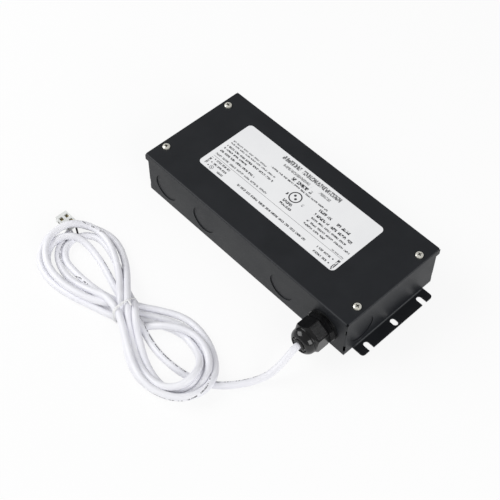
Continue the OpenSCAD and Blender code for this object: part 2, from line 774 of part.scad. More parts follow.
fuse_at = [-62, -38];
fuse_z = deck_z + 5.2;
fuse_l = 20;
fuse_cap_l = 5.2;
fuse_cap_r = 2.6;
clip_l = 4;
module fuse() {
    color([0.80, 0.82, 0.82]) translate([fuse_at[0], fuse_at[1], fuse_z]) rotate([0, 90, 0]) {
        cylinder(h = fuse_l, r = fuse_cap_r - fit, center = true);
        for (s = [-1, 1]) translate([0, 0, s * (fuse_l - fuse_cap_l) / 2])
            cylinder(h = fuse_cap_l, r = fuse_cap_r, center = true);
    }
}
module fuse_clips() {
    color([0.78, 0.74, 0.60]) for (s = [-1, 1])
        translate([fuse_at[0] + s * (fuse_l - fuse_cap_l) / 2, fuse_at[1], 0]) difference() {
            translate([-clip_l / 2, -3.3, deck_z]) cube([clip_l, 6.6, 7.4]);
            translate([-clip_l, 0, fuse_z]) rotate([0, 90, 0]) cylinder(h = 2 * clip_l, r = fuse_cap_r + 0.1);
            translate([-clip_l, -2.2, fuse_z]) cube([2 * clip_l, 4.4, 6]);
        }
}

bridge_at = [-34, -30];
bridge_size = [20, 4.4, 16];
module bridge_rectifier() {
    color([0.11, 0.11, 0.12]) translate([bridge_at[0], bridge_at[1], deck_z]) difference() {
        linear_extrude(bridge_size[2]) rounded_rect(bridge_size[0], bridge_size[1], 0.5);
        translate([0, 0, 11]) rotate([90, 0, 0]) cylinder(h = 10, r = 1.6, center = true);
    }
}

// Aluminium bar that carries the power transistors and hands their heat to the back wall
sink_l = 118;
sink_h = 30;
sink_t = 3;
sink_foot_h = 14;
sink_foot_t = 2;
pad_t = 0.5;
sink_y = board_w / 2 - 1 - sink_t;
transistor_x = [-40, -6, 40];
hole_z = deck_z + 19;
wall_in_y = case_w / 2 - sheet_t - pad_t;
module heat_sink() {
    color([0.78, 0.79, 0.80]) difference() {
        union() {
            translate([-sink_l / 2, sink_y, deck_z]) cube([sink_l, sink_t, sink_h]);
            translate([-sink_l / 2, sink_y, deck_z + sink_h - sink_t])
                cube([sink_l, wall_in_y - sink_y, sink_t]);
            translate([-sink_l / 2, wall_in_y - sink_foot_t, deck_z + sink_h - sink_foot_h])
                cube([sink_l, sink_foot_t, sink_foot_h]);
        }
        for (x = transistor_x) translate([x, sink_y - 1, hole_z])
            rotate([-90, 0, 0]) cylinder(h = sink_t + 2, r = 1.3);
    }
}
module thermal_pad() {
    color([0.62, 0.68, 0.74]) translate([-sink_l / 2 + 1, wall_in_y, deck_z + sink_h - sink_foot_h + 1])
        cube([sink_l - 2, pad_t, sink_foot_h - 2]);
}

// Power device: a thick moulded half, a thin metal tab with a hole, and three legs
device_w = 10;
device_t = 4.4;
device_tab_t = 1.2;
device_z = deck_z + 6;
leg_pitch = 2.54;
module power_transistors() {
    color([0.12, 0.12, 0.13]) for (x = transistor_x) difference() {
        union() {
            translate([x - device_w / 2, sink_y - device_t, device_z]) cube([device_w, device_t, 9]);
            translate([x - device_w / 2, sink_y - device_tab_t, device_z]) cube([device_w, device_tab_t, 16]);
            for (i = [-1, 0, 1]) translate([x + i * leg_pitch - 0.4, sink_y - 2.7, deck_z])
                cube([0.8, 0.6, device_z - deck_z + 0.1]);
        }
        translate([x, sink_y - 6, hole_z]) rotate([-90, 0, 0]) cylinder(h = 10, r = 1.7);
    }
}
module transistor_screws() {
    color([0.75, 0.75, 0.76]) for (x = transistor_x) translate([x, sink_y - device_tab_t, hole_z])
        rotate([90, 0, 0]) pan_screw(1.2, 2.6, 1.8, device_tab_t + sink_t - 0.4);
}

// Upright control board with its chips
ctrl_at = [70, -18];
ctrl_size = [1.6, 34, 22];
chip_t = 1.6;
driver_at = [44, 22];
module control_board() {
    color([0.10, 0.36, 0.20]) translate([ctrl_at[0], ctrl_at[1], deck_z]) cube(ctrl_size);
}
module control_chips() {
    color([0.12, 0.12, 0.13]) {
        for (i = [0 : 2]) translate([ctrl_at[0] - chip_t, ctrl_at[1] + 4 + i * 10, deck_z + 8])
            cube([chip_t, 6, 8]);
        for (i = [0 : 1]) translate([driver_at[0] + i * 9, driver_at[1], deck_z]) cube([6.5, 5, 3.6]);
    }
}

// Screw terminals at the board's two ends
module terminal(ways, pitch) {
    difference() {
        translate([-5, -ways * pitch / 2, 0]) cube([10, ways * pitch, 11]);
        for (i = [0 : ways - 1]) translate([0, (i - (ways - 1) / 2) * pitch, 0]) {
            translate([-6, -1.8, 2.4]) cube([5, 3.6, 3.6]);
            translate([0.5, 0, 8]) cylinder(h = 4, r = 1.9);
        }
    }
}
term_x = board_l / 2 - 5.2;
module input_terminal() {
    color([0.15, 0.40, 0.24]) translate([-term_x, 10, deck_z]) terminal(3, 6.4);
}
module output_terminal() {
    color([0.15, 0.40, 0.24]) translate([term_x, -10, deck_z]) rotate([0, 0, 180]) terminal(2, 6.4);
}

// Mains leads from the input terminal, laid down in the wiring bay at the -X end,
// each route as distances from the terminal's axis, from the board's middle and from the floor
term_wire_z = deck_z + 4.2;
lead_r = 1.3;
mains_routes = [
    [[5, 3.6, term_wire_z], [9, 3.6, term_wire_z], [14, 2.5, 11.6], [18, -2, 7.2], [20, -9, 3.8],
     [20.5, -18, 2.6], [20.5, -30, 2.6]],
    [[5, 10, term_wire_z], [9, 10, term_wire_z], [15, 8.5, 11.6], [21, 4, 7.2], [25, -4, 3.8],
     [26.5, -14, 2.6], [27, -26, 2.6]]];
module input_leads() {
    color([0.08, 0.08, 0.08]) for (route = mains_routes)
        tube([for (q = route) [-term_x - q[0], q[1], q[2]]], lead_r, 8);
}

// Output leads from the stripped cord to the output terminal
module output_leads() {
    inner_y = -case_w / 2 - inner_end + 4;
    color([0.80, 0.80, 0.80]) for (s = [-1, 1])
        tube([[port_far_x + s * 1.5, inner_y, port_z], [port_far_x + s * 1.5, inner_y + 5, port_z],
              [port_far_x - 1 + s * 1.7, inner_y + 13, port_z - 2],
              [port_far_x - 5 + s * 1.7, -21 + s, 16.6], [port_far_x - 9 + s, -13.4 + s * 2.2, term_wire_z],
              [term_x + 9, -10 + s * 3.2, term_wire_z], [term_x + 5, -10 + s * 3.2, term_wire_z]], 1.1, 8);
}

// Ground stud on the floor of the wiring bay, with its nut and lead
ground_at = [-106, 30];
ring_t = 0.8;
module ground_stud() {
    color([0.72, 0.62, 0.30]) translate([ground_at[0], ground_at[1], floor_z]) {
        cylinder(h = 1.0, r = 3.5);
        cylinder(h = 9, r = 2);
    }
}
module ground_nut() {
    color([0.72, 0.62, 0.30]) translate([ground_at[0], ground_at[1], floor_z + 1.0 + ring_t]) difference() {
        cylinder(h = 3.2, r = 4, $fn = 6);
        translate([0, 0, -1]) cylinder(h = 6, r = 2.1);
    }
}
module ground_lead() {
    color([0.10, 0.45, 0.20]) {
        translate([ground_at[0], ground_at[1], floor_z + 1.0]) linear_extrude(ring_t) difference() {
            union() {
                circle(3.6);
                translate([0, -1.8]) square([9.5, 3.6]);
            }
            circle(2.15);
        }
        tube([[ground_at[0] + 7.5, ground_at[1], floor_z + 2.6], [ground_at[0] + 11, ground_at[1], 5.2],
              [ground_at[0] + 15, 25, 9.4], [-term_x - 9, 16.9, term_wire_z - 0.5],
              [-term_x - 5, 16.4, term_wire_z]], lead_r, 8);
    }
}

case_tray();
lid();
lid_screws();
rating_label();
gland_gasket();
gland_body();
gland_claw();
gland_seal();
gland_nut();
gland_locknut();
cord_in_gland();
cord_lead();
cord_hank();
cord_tie();
connector_shell();
connector_contacts();
connector_leads();
liner_sheet();
board_posts();
circuit_board();
board_screws();
transformer_core();
transformer_bobbin();
transformer_winding();
mains_capacitors();
output_capacitors();
film_capacitor();
varistor();
line_choke_core();
line_choke_windings();
output_choke_core();
output_choke_winding();
fuse();
fuse_clips();
bridge_rectifier();
heat_sink();
thermal_pad();
power_transistors();
transistor_screws();
control_board();
control_chips();
input_terminal();
output_terminal();
input_leads();
output_leads();
ground_stud();
ground_nut();
ground_lead();
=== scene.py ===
"""Remote power supply: a black folded-steel case with a printed label, a cable gland, and an output cord
that is wound in a tied figure of eight and ends in a small two-way connector."""
import json
import math
from collections import namedtuple

import bmesh
import bpy
import numpy as np
from mathutils import Matrix, Vector


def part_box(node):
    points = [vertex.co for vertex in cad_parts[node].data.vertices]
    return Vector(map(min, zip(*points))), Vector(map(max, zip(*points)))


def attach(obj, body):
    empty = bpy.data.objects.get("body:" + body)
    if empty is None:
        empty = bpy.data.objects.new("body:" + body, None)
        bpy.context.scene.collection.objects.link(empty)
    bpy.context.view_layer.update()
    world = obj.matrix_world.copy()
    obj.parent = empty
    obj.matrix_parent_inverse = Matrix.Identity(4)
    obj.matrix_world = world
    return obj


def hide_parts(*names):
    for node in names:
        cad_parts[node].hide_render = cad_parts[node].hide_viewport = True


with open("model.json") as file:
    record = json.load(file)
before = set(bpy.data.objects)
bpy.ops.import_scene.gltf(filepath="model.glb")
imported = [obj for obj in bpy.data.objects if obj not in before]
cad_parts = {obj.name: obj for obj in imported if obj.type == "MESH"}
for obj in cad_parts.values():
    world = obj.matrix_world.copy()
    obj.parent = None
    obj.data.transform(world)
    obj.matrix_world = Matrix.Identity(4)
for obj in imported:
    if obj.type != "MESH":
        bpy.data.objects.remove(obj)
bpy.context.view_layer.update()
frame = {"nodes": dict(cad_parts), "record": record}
nodes = frame["nodes"]
MM = 0.001
Box = namedtuple("Box", "low high middle")


def deselect():
    """Back to Object mode, with nothing selected."""
    if bpy.context.object and bpy.context.object.mode != "OBJECT":
        bpy.ops.object.mode_set(mode="OBJECT")
    bpy.ops.object.select_all(action="DESELECT")


def node_box(node):
    """A node's lowest corner, highest corner and middle, in millimetres to the thousandth."""
    low, high = [[round(c / MM, 3) for c in corner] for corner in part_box(node)]
    return Box(low, high, [round((a + b) / 2, 3) for a, b in zip(low, high)])


deselect()

# Camera

# Where it stands, in metres, and the ways that run right, down and into the photograph
EYE = Vector((0.40885, -0.43304, 0.7765))
RIGHT = Vector((0.68853639, 0.72512067, 0.01084694))
DOWN = Vector((0.58528388, -0.54679876, -0.5987102))
AHEAD = Vector((-0.42820605, 0.4185823, -0.80089228))

# Its film and lens in millimetres, its shift in film widths, and how near and how far it sees, in metres
SENSOR = 36.0
FOCAL = 77.07
SHIFT = (-0.0201, -0.0089)
CLIP = (0.05, 20.0)


def place_camera():
    """A camera that sees what the photograph's saw."""
    data = bpy.data.cameras.new("camera")
    data.sensor_width = SENSOR
    data.sensor_fit = "HORIZONTAL"
    data.lens = FOCAL
    data.shift_x, data.shift_y = SHIFT
    data.clip_start, data.clip_end = CLIP
    camera = bpy.data.objects.new("camera", data)
    turn = Matrix((RIGHT, -DOWN, -AHEAD)).transposed().to_4x4()
    camera.matrix_world = Matrix.Translation(EYE) @ turn
    bpy.context.collection.objects.link(camera)
    bpy.context.scene.camera = camera


place_camera()

# The cord's route, in millimetres

# The cord's diameter, the step between the points of its route, and the radius below which a bend is opened
CORD_D = 6.4
CORD_R = CORD_D / 2
STEP = 3.0
LEAST_BEND = 22.5

# The gland's nut, and the middle of its mouth, where the cord comes out
NUT = node_box("gland_nut")
GLAND_MOUTH = (NUT.middle[0], NUT.low[1], NUT.middle[2])

# The connector's shell, which the outermost turns lie on, how far round it they lie just as high, and how
# steeply they slope down from there
SHELL = node_box("connector_shell")
SHELL_ROUND = 1.5
SHELL_SLOPE = 1.2

# The tie that squeezes the waist of the figure of eight
TIE = node_box("cord_tie")
TIE_X = TIE.middle[0]
TIE_WALL = 1.0

# How the route is laid: the widths over which kinks are taken out before and after its bends are opened, how
# often they are, how many rounds of settling follow, and how much a point sinks in each
KINK_WIDTHS = (6.0, 4.0)
OPENINGS = 300
ROUNDS = 1200
SINK = 0.05

# The share of a push that strands take sideways, and of its way aside that a point keeps in a round
SLIDE = 0.35
HOLD = 0.99

# Points closer along the cord than this many diameters don't push each other apart. Others are watched once
# they lie within a margin of touching.
OWN_STRETCH = 2.5
WATCH_MARGIN = 4

# The cord's free stretch, and its way on into the tie
LEAD = [GLAND_MOUTH, (101.2, -90.65, 21.5), (101.5, -98, 19.0), (101.0, -106, 13.8), (99.5, -114, 8.8),
        (96.5, -122, 5.3), (92.5, -130, 3.7), (88, -137.5, 3.2), (83.5, -144, 3.2), (78.5, -150, 3.2)]
TO_TIE = [(71.5, -156, 3.2), (62, -162, 3.2), (48, -166.5, 3.2), (32, -168.5, 3.2), (15, -168, 3.4),
          (0, -165, 4), (-11, -162.5, 6), (-21, -161, 9)]

# Where the cord passes through the tie before each turn, and after the last: y and z
SLOTS = [(-162, 9.7), (-165.3, 4.2), (-158.7, 15), (-171.8, 4.2), (-165.3, 15), (-158.7, 4.2),
         (-155.5, 9.7), (-152.2, 4.2), (-171.2, 12.2)]

# The eight turns, far lobe and near lobe by turns. Each has its highest point in plan, its end and its
# lowest point in plan, and how much steeper than straight it leaves the tie and comes back to it.
TURNS = [
    ((-111, -142.3, 9.6), (-133, -163.2, 9.4), (-111, -184.8, 3.2), 1.0, 1.4),
    ((25, -140.5, 3.2), (62.3, -168, 9.4), (38.5, -191.5, 9.4), 0.5, 1.8),
    ((-101, -120.5, 3.2), (-140.5, -159.5, 7.0), (-99, -188.8, 3.2), 1.2, 0.0),
    ((30, -136, 9.0), (69, -169.5, 9.4), (31, -195.6, 3.2), 0.7, 1.3),
    ((-112, -126.6, 16.5), (-138.2, -155.5, 16.5), (-97, -185.5, 8.8), 1.5, 2.3),
    ((23.5, -135.5, 4.0), (63.5, -168.3, 14.0), (39, -191.3, 3.2), 0.7, 1.1),
    ((-107, -129.2, 3.2), (-126.2, -149.0, 3.2), (-107, -168.8, 3.2), 1.0, 3.2),
    ((17.5, -128, 4.4), (73, -167.5, 13.5), (35, -196.0, 9.4), 1.3, 0.7)]

# The way from the tie into the connector's leads
TO_END = [(-41, -169.5, 12.8), (-50.5, -170, 11.5), (-62.5, -172, 8), (-75, -175, 4.4), (-86.5, -177, 3.2),
          (-99, -176.5, 3.2), (-109.5, -173.5, 3.2), (-119, -168, 3.2), (-127, -160.5, 3.2),
          (-132, -152, 3.2), (-133.2, -145.4, 3.2)]


def straight(slot, shoulder, steep, count=8):
    """Points from the tie to a lobe's shoulder, where the turn runs square to the tie."""
    points = []
    for k in range(count):
        s = k / count
        rise = steep * s + (3 - 2 * steep) * s ** 2 + (steep - 2) * s ** 3
        ease = s * s * (3 - 2 * s)
        points.append((TIE_X + (shoulder[0] - TIE_X) * s, slot[0] + (shoulder[1] - slot[0]) * rise,
                       slot[1] + (shoulder[2] - slot[1]) * ease))
    return points


def round_corner(shoulder, end, count=5):
    """Points on the quarter of an ellipse from a lobe's shoulder to its end."""
    points = []
    for k in range(count):
        a = 0.5 * math.pi * k / count
        ease = (1 - math.cos(2 * a)) / 2
        points.append((shoulder[0] + (end[0] - shoulder[0]) * math.sin(a),
                       end[1] + (shoulder[1] - end[1]) * math.cos(a),
                       shoulder[2] + (end[2] - shoulder[2]) * ease))
    return points


def plan_route():
    """The whole route before it settles: the listed ends, and the turns worked out one by one."""
    route = LEAD + TO_TIE
    for (high, end, low, leave, come), slot_in, slot_out in zip(TURNS, SLOTS, SLOTS[1:]):
        route += straight(slot_in, high, leave) + round_corner(high, end)
        route += [end] + round_corner(low, end)[:0:-1] + [low] + straight(slot_out, low, come)[:0:-1]
    return route + [(TIE_X, *SLOTS[-1])] + TO_END


def even_points(route, fine=24):
    """Points a step apart on a centripetal Catmull-Rom curve through the route's points, worked out at so
    many places between each two."""
    p = np.array(route, float)
    t = np.r_[0, np.cumsum(np.sqrt(np.linalg.norm(np.diff(p, axis=0), axis=1)))]
    p = np.vstack([2 * p[0] - p[1], p, 2 * p[-1] - p[-2]])
    t = np.r_[2 * t[0] - t[1], t, 2 * t[-1] - t[-2]]

    def between(a, b, ta, tb, s):
        return ((tb - s)[:, None] * a + (s - ta)[:, None] * b) / (tb - ta)

    curve = []
    for i in range(1, len(p) - 2):
        s = np.linspace(t[i], t[i + 1], fine, endpoint=False)
        a = between(p[i - 1], p[i], t[i - 1], t[i], s)
        b = between(p[i], p[i + 1], t[i], t[i + 1], s)
        c = between(p[i + 1], p[i + 2], t[i + 1], t[i + 2], s)
        ab = between(a, b, t[i - 1], t[i + 1], s)
        bc = between(b, c, t[i], t[i + 2], s)
        curve.append(between(ab, bc, t[i], t[i + 1], s))
    curve = np.vstack(curve + [p[-2:-1]])
    run = run_along(curve)
    at = np.linspace(0, run[-1], int(round(run[-1] / STEP)) + 1)
    return np.stack([np.interp(at, run, curve[:, c]) for c in range(3)], axis=1)


def run_along(path):
    """How far along a path each of its points lies."""
    return np.r_[0, np.cumsum(np.linalg.norm(np.diff(path, axis=0), axis=1))]


def even_out(values, share):
    """Moves each of a row of values, in place, a share of the way to the middle of its two neighbours."""
    values[1:-1] += share * (0.5 * (values[:-2] + values[2:]) - values[1:-1])


def take_out_kinks(p, width, free):
    """The route evened out over a width in millimetres, held where it isn't free."""
    reach = int(3 * width / STEP)
    weights = np.exp(-0.5 * (np.arange(-reach, reach + 1) * STEP / width) ** 2)
    weights /= weights.sum()
    long = np.vstack([2 * p[0] - p[reach:0:-1], p, 2 * p[-1] - p[-2:-reach - 2:-1]])
    even = np.stack([np.convolve(long[:, c], weights, mode="valid") for c in range(3)], axis=1)
    return p + (even - p) * free[:, None]


def open_bends(p, free, rate=0.4, span=3):
    """Each bend that is tighter than the cord allows, over a span of points each way, is opened a little."""
    sag = 0.5 * (p[:-2 * span] + p[2 * span:]) - p[span:-span]
    size = np.linalg.norm(sag, axis=1)
    limit = (span * STEP) ** 2 / (2 * LEAST_BEND)
    push = sag * (np.maximum(0, size - limit) / np.maximum(size, 1e-9))[:, None] * rate
    q = p.copy()
    q[span:-span] += push
    q[:-2 * span] -= 0.5 * push
    q[2 * span:] -= 0.5 * push
    return p + (q - p) * (free > 0)[:, None]


def lowest(p):
    """Lowest that the cord's middle may be: on the floor, or on the connector or the slope up to it."""
    low = np.array(SHELL.low[:2]) - SHELL_ROUND
    high = np.array(SHELL.high[:2]) + SHELL_ROUND
    away = np.maximum(0, np.maximum(low - p[:, :2], p[:, :2] - high))
    return CORD_R + np.maximum(0, SHELL.high[2] - SHELL_SLOPE * np.hypot(*away.T))


def near_pairs(p):
    """Pairs of points that may soon touch, apart from those that follow each other closely on the cord."""
    gap = ((p[:, None] - p[None]) ** 2).sum(2)
    neighbours = int(math.ceil(OWN_STRETCH * CORD_D / STEP))
    return np.nonzero(np.triu(gap < (CORD_D + WATCH_MARGIN) ** 2, neighbours))


def push_apart(p, pairs, moves):
    """Strands that lie in each other are moved apart, less sideways than up and down."""
    i, j = pairs
    way = p[i] - p[j]
    far = np.linalg.norm(way, axis=1)
    hit = far < CORD_D
    push = 0.5 * (CORD_D / np.maximum(far[hit], 1e-6) - 1)[:, None] * way[hit] * (SLIDE, SLIDE, 1.0)
    total, count = np.zeros_like(p), np.zeros(len(p))
    for at, sign in ((i[hit], 1), (j[hit], -1)):
        np.add.at(total, at, sign * push)
        np.add.at(count, at, 1)
    return p + np.where(moves, total / np.maximum(count, 1)[:, None], 0)


def keep_in_place(p, moves):
    """No point sinks under what carries it, and those in the tie stay inside its walls."""
    p[:, 2] = np.where(moves[:, 0], np.maximum(p[:, 2], lowest(p)), p[:, 2])
    tied = np.abs(p[:, 0] - TIE_X) < STEP
    for c in (1, 2):
        p[tied, c] = np.clip(p[tied, c], TIE.low[c] + TIE_WALL + CORD_R, TIE.high[c] - TIE_WALL - CORD_R)
    return p


def sink_from(plan, p):
    """The points sunk a little. Their shift from the plan stays even along the cord, and their heights as
    smooth as a stiff rod's."""
    shift = p - plan
    shift[:, 2] -= SINK
    for _ in range(2):
        even_out(shift, 0.5)
    shift[:, :2] *= HOLD
    q = plan + shift
    for _ in range(2):
        rod = (4 * (q[1:-3, 2] + q[3:-1, 2]) - (q[:-4, 2] + q[4:, 2])) / 6
        q[2:-2, 2] += 0.3 * (rod - q[2:-2, 2])
    return q


def settle(plan, free):
    """Lays the planned route down as a cord lies: in each round every point sinks a little, bends stay open,
    strands push each other apart, and the tie holds the waist."""
    plan = take_out_kinks(plan, KINK_WIDTHS[0], free)
    for _ in range(OPENINGS):
        plan = open_bends(plan, free)
    plan = take_out_kinks(plan, KINK_WIDTHS[1], free)
    p = plan.copy()
    moves = (free > 0)[:, None]
    for turn in range(ROUNDS):
        if turn % 8 == 0:
            pairs = near_pairs(p)
        p = np.where(moves, sink_from(plan, p), plan)
        for _ in range(4):
            p = open_bends(p, free)
        for _ in range(2):
            p = keep_in_place(push_apart(p, pairs, moves), moves)
    return p


def lay_cord(loosen=8):
    """The settled route, in metres. Its free stretch is held, and the points after that come loose one by
    one."""
    plan = even_points(plan_route())
    free = np.ones(len(plan))
    held = int(np.argmin(np.linalg.norm(plan - np.array(LEAD[-1]), axis=1)))
    free[:held] = 0
    free[held:held + loosen] = np.linspace(0.01, 1, loosen)
    free[-2:] = 0
    return settle(plan, free) * MM


cord_path = lay_cord()

# Round meshes swept along a route


def skin(rings, sides):
    """Faces of a closed tube whose points are rings of so many sides: its skin, and then its two ends."""
    faces = []
    for k in range(rings - 1):
        for s in range(sides):
            n = (s + 1) % sides
            faces.append((k * sides + s, k * sides + n, (k + 1) * sides + n, (k + 1) * sides + s))
    faces.append(tuple(reversed(range(sides))))
    faces.append(tuple(range((rings - 1) * sides, rings * sides)))
    return faces


def closed_mesh(name, verts, faces):
    """A new object from points and faces, with all faces turned outward."""
    mesh = bpy.data.meshes.new(name)
    mesh.from_pydata([tuple(v) for v in verts], [], faces)
    mesh.validate()
    bm = bmesh.new()
    bm.from_mesh(mesh)
    bmesh.ops.recalc_face_normals(bm, faces=bm.faces)
    bm.to_mesh(mesh)
    bm.free()
    obj = bpy.data.objects.new(name, mesh)
    bpy.context.collection.objects.link(obj)
    return obj


def ways_along(path):
    """The way that a path goes at each of its points."""
    along = np.gradient(path, axis=0)
    return along / np.linalg.norm(along, axis=1)[:, None]


def square_to(path):
    """Two directions square to a path at each of its points, which don't twist round it."""
    along = ways_along(path)
    side = np.cross(along[0], (0, 0, 1))
    sides = []
    for way in along:
        side = side - way * np.dot(side, way)
        side /= np.linalg.norm(side)
        sides.append(side)
    sides = np.array(sides)
    return sides, np.cross(sides, along)


# Where the cord's line of print shows: metres along the cord, and turns round it away from the camera
PRINT_TURN = [(0.0, -0.3), (0.05, -0.2), (0.09, -0.14), (0.155, -0.13), (0.175, -0.2), (0.2, -0.32),
              (0.217, -0.19), (0.248, -0.16), (0.27, -0.5), (1.247, -0.5), (1.259, -0.05), (1.275, -0.05),
              (1.287, -0.5), (1.805, -0.5), (1.819, -0.04), (1.851, -0.04), (1.868, -0.5), (1.966, -0.5),
              (1.991, -0.2), (2.006, -0.02), (2.026, 0.17), (2.051, 0.21), (2.076, 0.5), (2.206, 0.5),
              (2.219, 0.92), (2.3, 0.92)]


def print_angle(path, side, over, run):
    """Turns round the cord, in its own frame, at which the line of print lies."""
    to_eye = np.array(EYE) - path
    facing = np.unwrap(np.arctan2((to_eye * over).sum(1), (to_eye * side).sum(1))) / (2 * math.pi)
    metres, turns = np.array(PRINT_TURN).T
    return facing + np.interp(run, metres, turns)


def tube_mesh(name, path, radius, sides):
    """A round tube along a path, closed at both ends. Its UV map has the metres along it, and the turns
    round it from the line of print, which is at one half."""
    side, over = square_to(path)
    run = run_along(path)
    line = print_angle(path, side, over, run)
    verts = []
    for k, centre in enumerate(path):
        for s in range(sides):
            a = 2 * math.pi * s / sides
            verts.append(centre + radius * (math.cos(a) * side[k] + math.sin(a) * over[k]))
    obj = closed_mesh(name, verts, skin(len(path), sides))
    skin_faces = (len(path) - 1) * sides
    uv = obj.data.uv_layers.new(name="length")
    for poly in obj.data.polygons:
        last_side = poly.index < skin_faces and poly.index % sides == sides - 1
        for loop in poly.loop_indices:
            k, s = divmod(obj.data.loops[loop].vertex_index, sides)
            turn = 1.0 if last_side and s == 0 else s / sides
            uv.data[loop].uv = (run[k], turn - line[k] + 0.5)
    obj.data.polygons.foreach_set("use_smooth", [poly.index < skin_faces for poly in obj.data.polygons])
    return obj


cord = tube_mesh("output_cord", cord_path, CORD_R * MM, 24)
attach(cord, "root")
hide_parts("cord_lead", "cord_hank")

# The twist tie round the hank's waist, in millimetres

# The tape's width and thickness, the wire inside it, and how far its middle lies off the strands
TAPE_W = 1.7
TAPE_T = 0.4
WIRE_R = 0.42
TAPE_OFF = 0.65

# Where round the bundle the tape starts and how far round it goes, in degrees
TAPE_START = 203
TAPE_TURN = -486

# How far the tape lies from the tie's middle in x, how far beside that it starts, and the share of its way
# over which it comes back from there
TAPE_SHIFT = -0.8
TAPE_BESIDE = 2.6
BESIDE_SHARE = 0.36

# How far it rises to cross itself, the share of its way over which it does, and how far the tail runs on in
# x, y and z, with the hump in it
CROSS_RISE = 1.0
CROSS_SHARE = 1 / 9
TAIL = np.array((7.0, -1.6, -0.9))
TAIL_HUMP = 0.6


def strands_at(x):
    """Centres (y, z) of the cord's strands where they pass the plane at x, in millimetres."""
    p = cord_path / MM
    found = []
    for a, b in zip(p[:-1], p[1:]):
        if (a[0] - x) * (b[0] - x) < 0:
            s = (x - a[0]) / (b[0] - a[0])
            found.append((a + (b - a) * s)[1:])
    return np.array(found)


def round_bundle(angle, strands, reach):
    """The point of the strands' outline that faces an angle, and the outward direction there."""
    out = np.array((math.cos(angle), math.sin(angle)))
    return strands[np.argmax(strands @ out)] + reach * out, out


def tie_route(count=72, tail_count=6):
    """Centre line of the tape and its outward directions: from the cut end at the bundle's front up over the
    top, down behind, below, up in front again, across itself, and off as a short tail."""
    strands = strands_at(TIE_X)
    centres, outs = [], []
    for k in range(count + 1):
        s = k / count
        point, out = round_bundle(math.radians(TAPE_START + TAPE_TURN * s), strands, CORD_R + TAPE_OFF)
        point = point + out * CROSS_RISE * max(0.0, 1 - (1 - s) / CROSS_SHARE)
        beside = TAPE_BESIDE * (1 - min(1.0, s / BESIDE_SHARE)) ** 1.5
        centres.append((TIE_X + TAPE_SHIFT + beside, *point))
        outs.append((0, *out))
    top = np.array(centres[-1])
    for k in range(1, tail_count + 1):
        s = k / tail_count
        centres.append(top + TAIL * s + (0, 0, TAIL_HUMP * math.sin(math.pi * s)))
        outs.append((0, 0, 1))
    centres, outs = np.array(centres), np.array(outs, float)
    for _ in range(6):
        even_out(centres, 0.3)
        even_out(outs, 0.4)
    return centres, outs


def tape_outline(count=8):
    """The tape's cross-section, width and height in millimetres: a flat band with a wire in its middle."""
    upper = []
    for k in range(count + 1):
        w = TAPE_W * (k / count - 0.5)
        band = TAPE_T / 2 * math.sqrt(max(0.0, 1 - (2 * w / TAPE_W) ** 8))
        wire = math.sqrt(max(0.0, WIRE_R ** 2 - w ** 2))
        upper.append((w, max(band, wire)))
    return upper + [(w, -h) for w, h in reversed(upper[1:-1])]


def make_tie():
    """The tape swept along its route. Its cut ends have a finish of their own."""
    centres, outs = tie_route()
    outline = tape_outline()
    verts = []
    for centre, way, out in zip(centres, ways_along(centres), outs):
        across = np.cross(way, out)
        across /= np.linalg.norm(across)
        out = np.cross(across, way)
        verts += [(centre + w * across + h * out) * MM for w, h in outline]
    obj = closed_mesh("twist_tie", verts, skin(len(centres), len(outline)))
    cut_ends = [len(poly.vertices) != 4 for poly in obj.data.polygons]
    obj.data.polygons.foreach_set("use_smooth", [not end for end in cut_ends])
    obj.data.polygons.foreach_set("material_index", [int(end) for end in cut_ends])
    return obj


tie = make_tie()
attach(tie, "root")
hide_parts("cord_tie")

# Floor and lamps, in metres

# The floor's width, and how far it lies below the case's bottom
FLOOR_W = 12
FLOOR_DROP = 0.0002

# Two lamps of one size and power: where each stands, and where it is aimed
LAMP_SIZE = (1.5, 1.2)
LAMP_WATTS = 22.5
LAMPS = {"key_softbox": ((-1.2, -0.8, 1.1), (0, -0.08, 0)),
         "fill_softbox": ((1.8, -0.3, 1.0), (0, -0.05, 0))}


def stage_floor():
    """The plain floor that the object stands on."""
    bpy.ops.mesh.primitive_plane_add(size=FLOOR_W, location=(0, 0, -FLOOR_DROP))
    floor = bpy.context.object
    floor.name = "floor"
    deselect()
    return floor


def hang_lamp(name, place, aim):
    """A softbox at a place, aimed at a point."""
    data = bpy.data.lights.new(name, "AREA")
    data.shape = "RECTANGLE"
    data.size, data.size_y = LAMP_SIZE
    data.energy = LAMP_WATTS
    lamp = bpy.data.objects.new(name, data)
    lamp.location = place
    lamp.rotation_euler = (Vector(aim) - Vector(place)).to_track_quat("-Z", "Y").to_euler()
    bpy.context.collection.objects.link(lamp)


floor = stage_floor()
for lamp_name, (lamp_place, lamp_aim) in LAMPS.items():
    hang_lamp(lamp_name, lamp_place, lamp_aim)

# Short calls for node trees

NUMBER = "NodeSocketFloat"
VECTOR = "NodeSocketVector"
COLOUR = "NodeSocketColor"
WHITE = (1, 1, 1, 1)


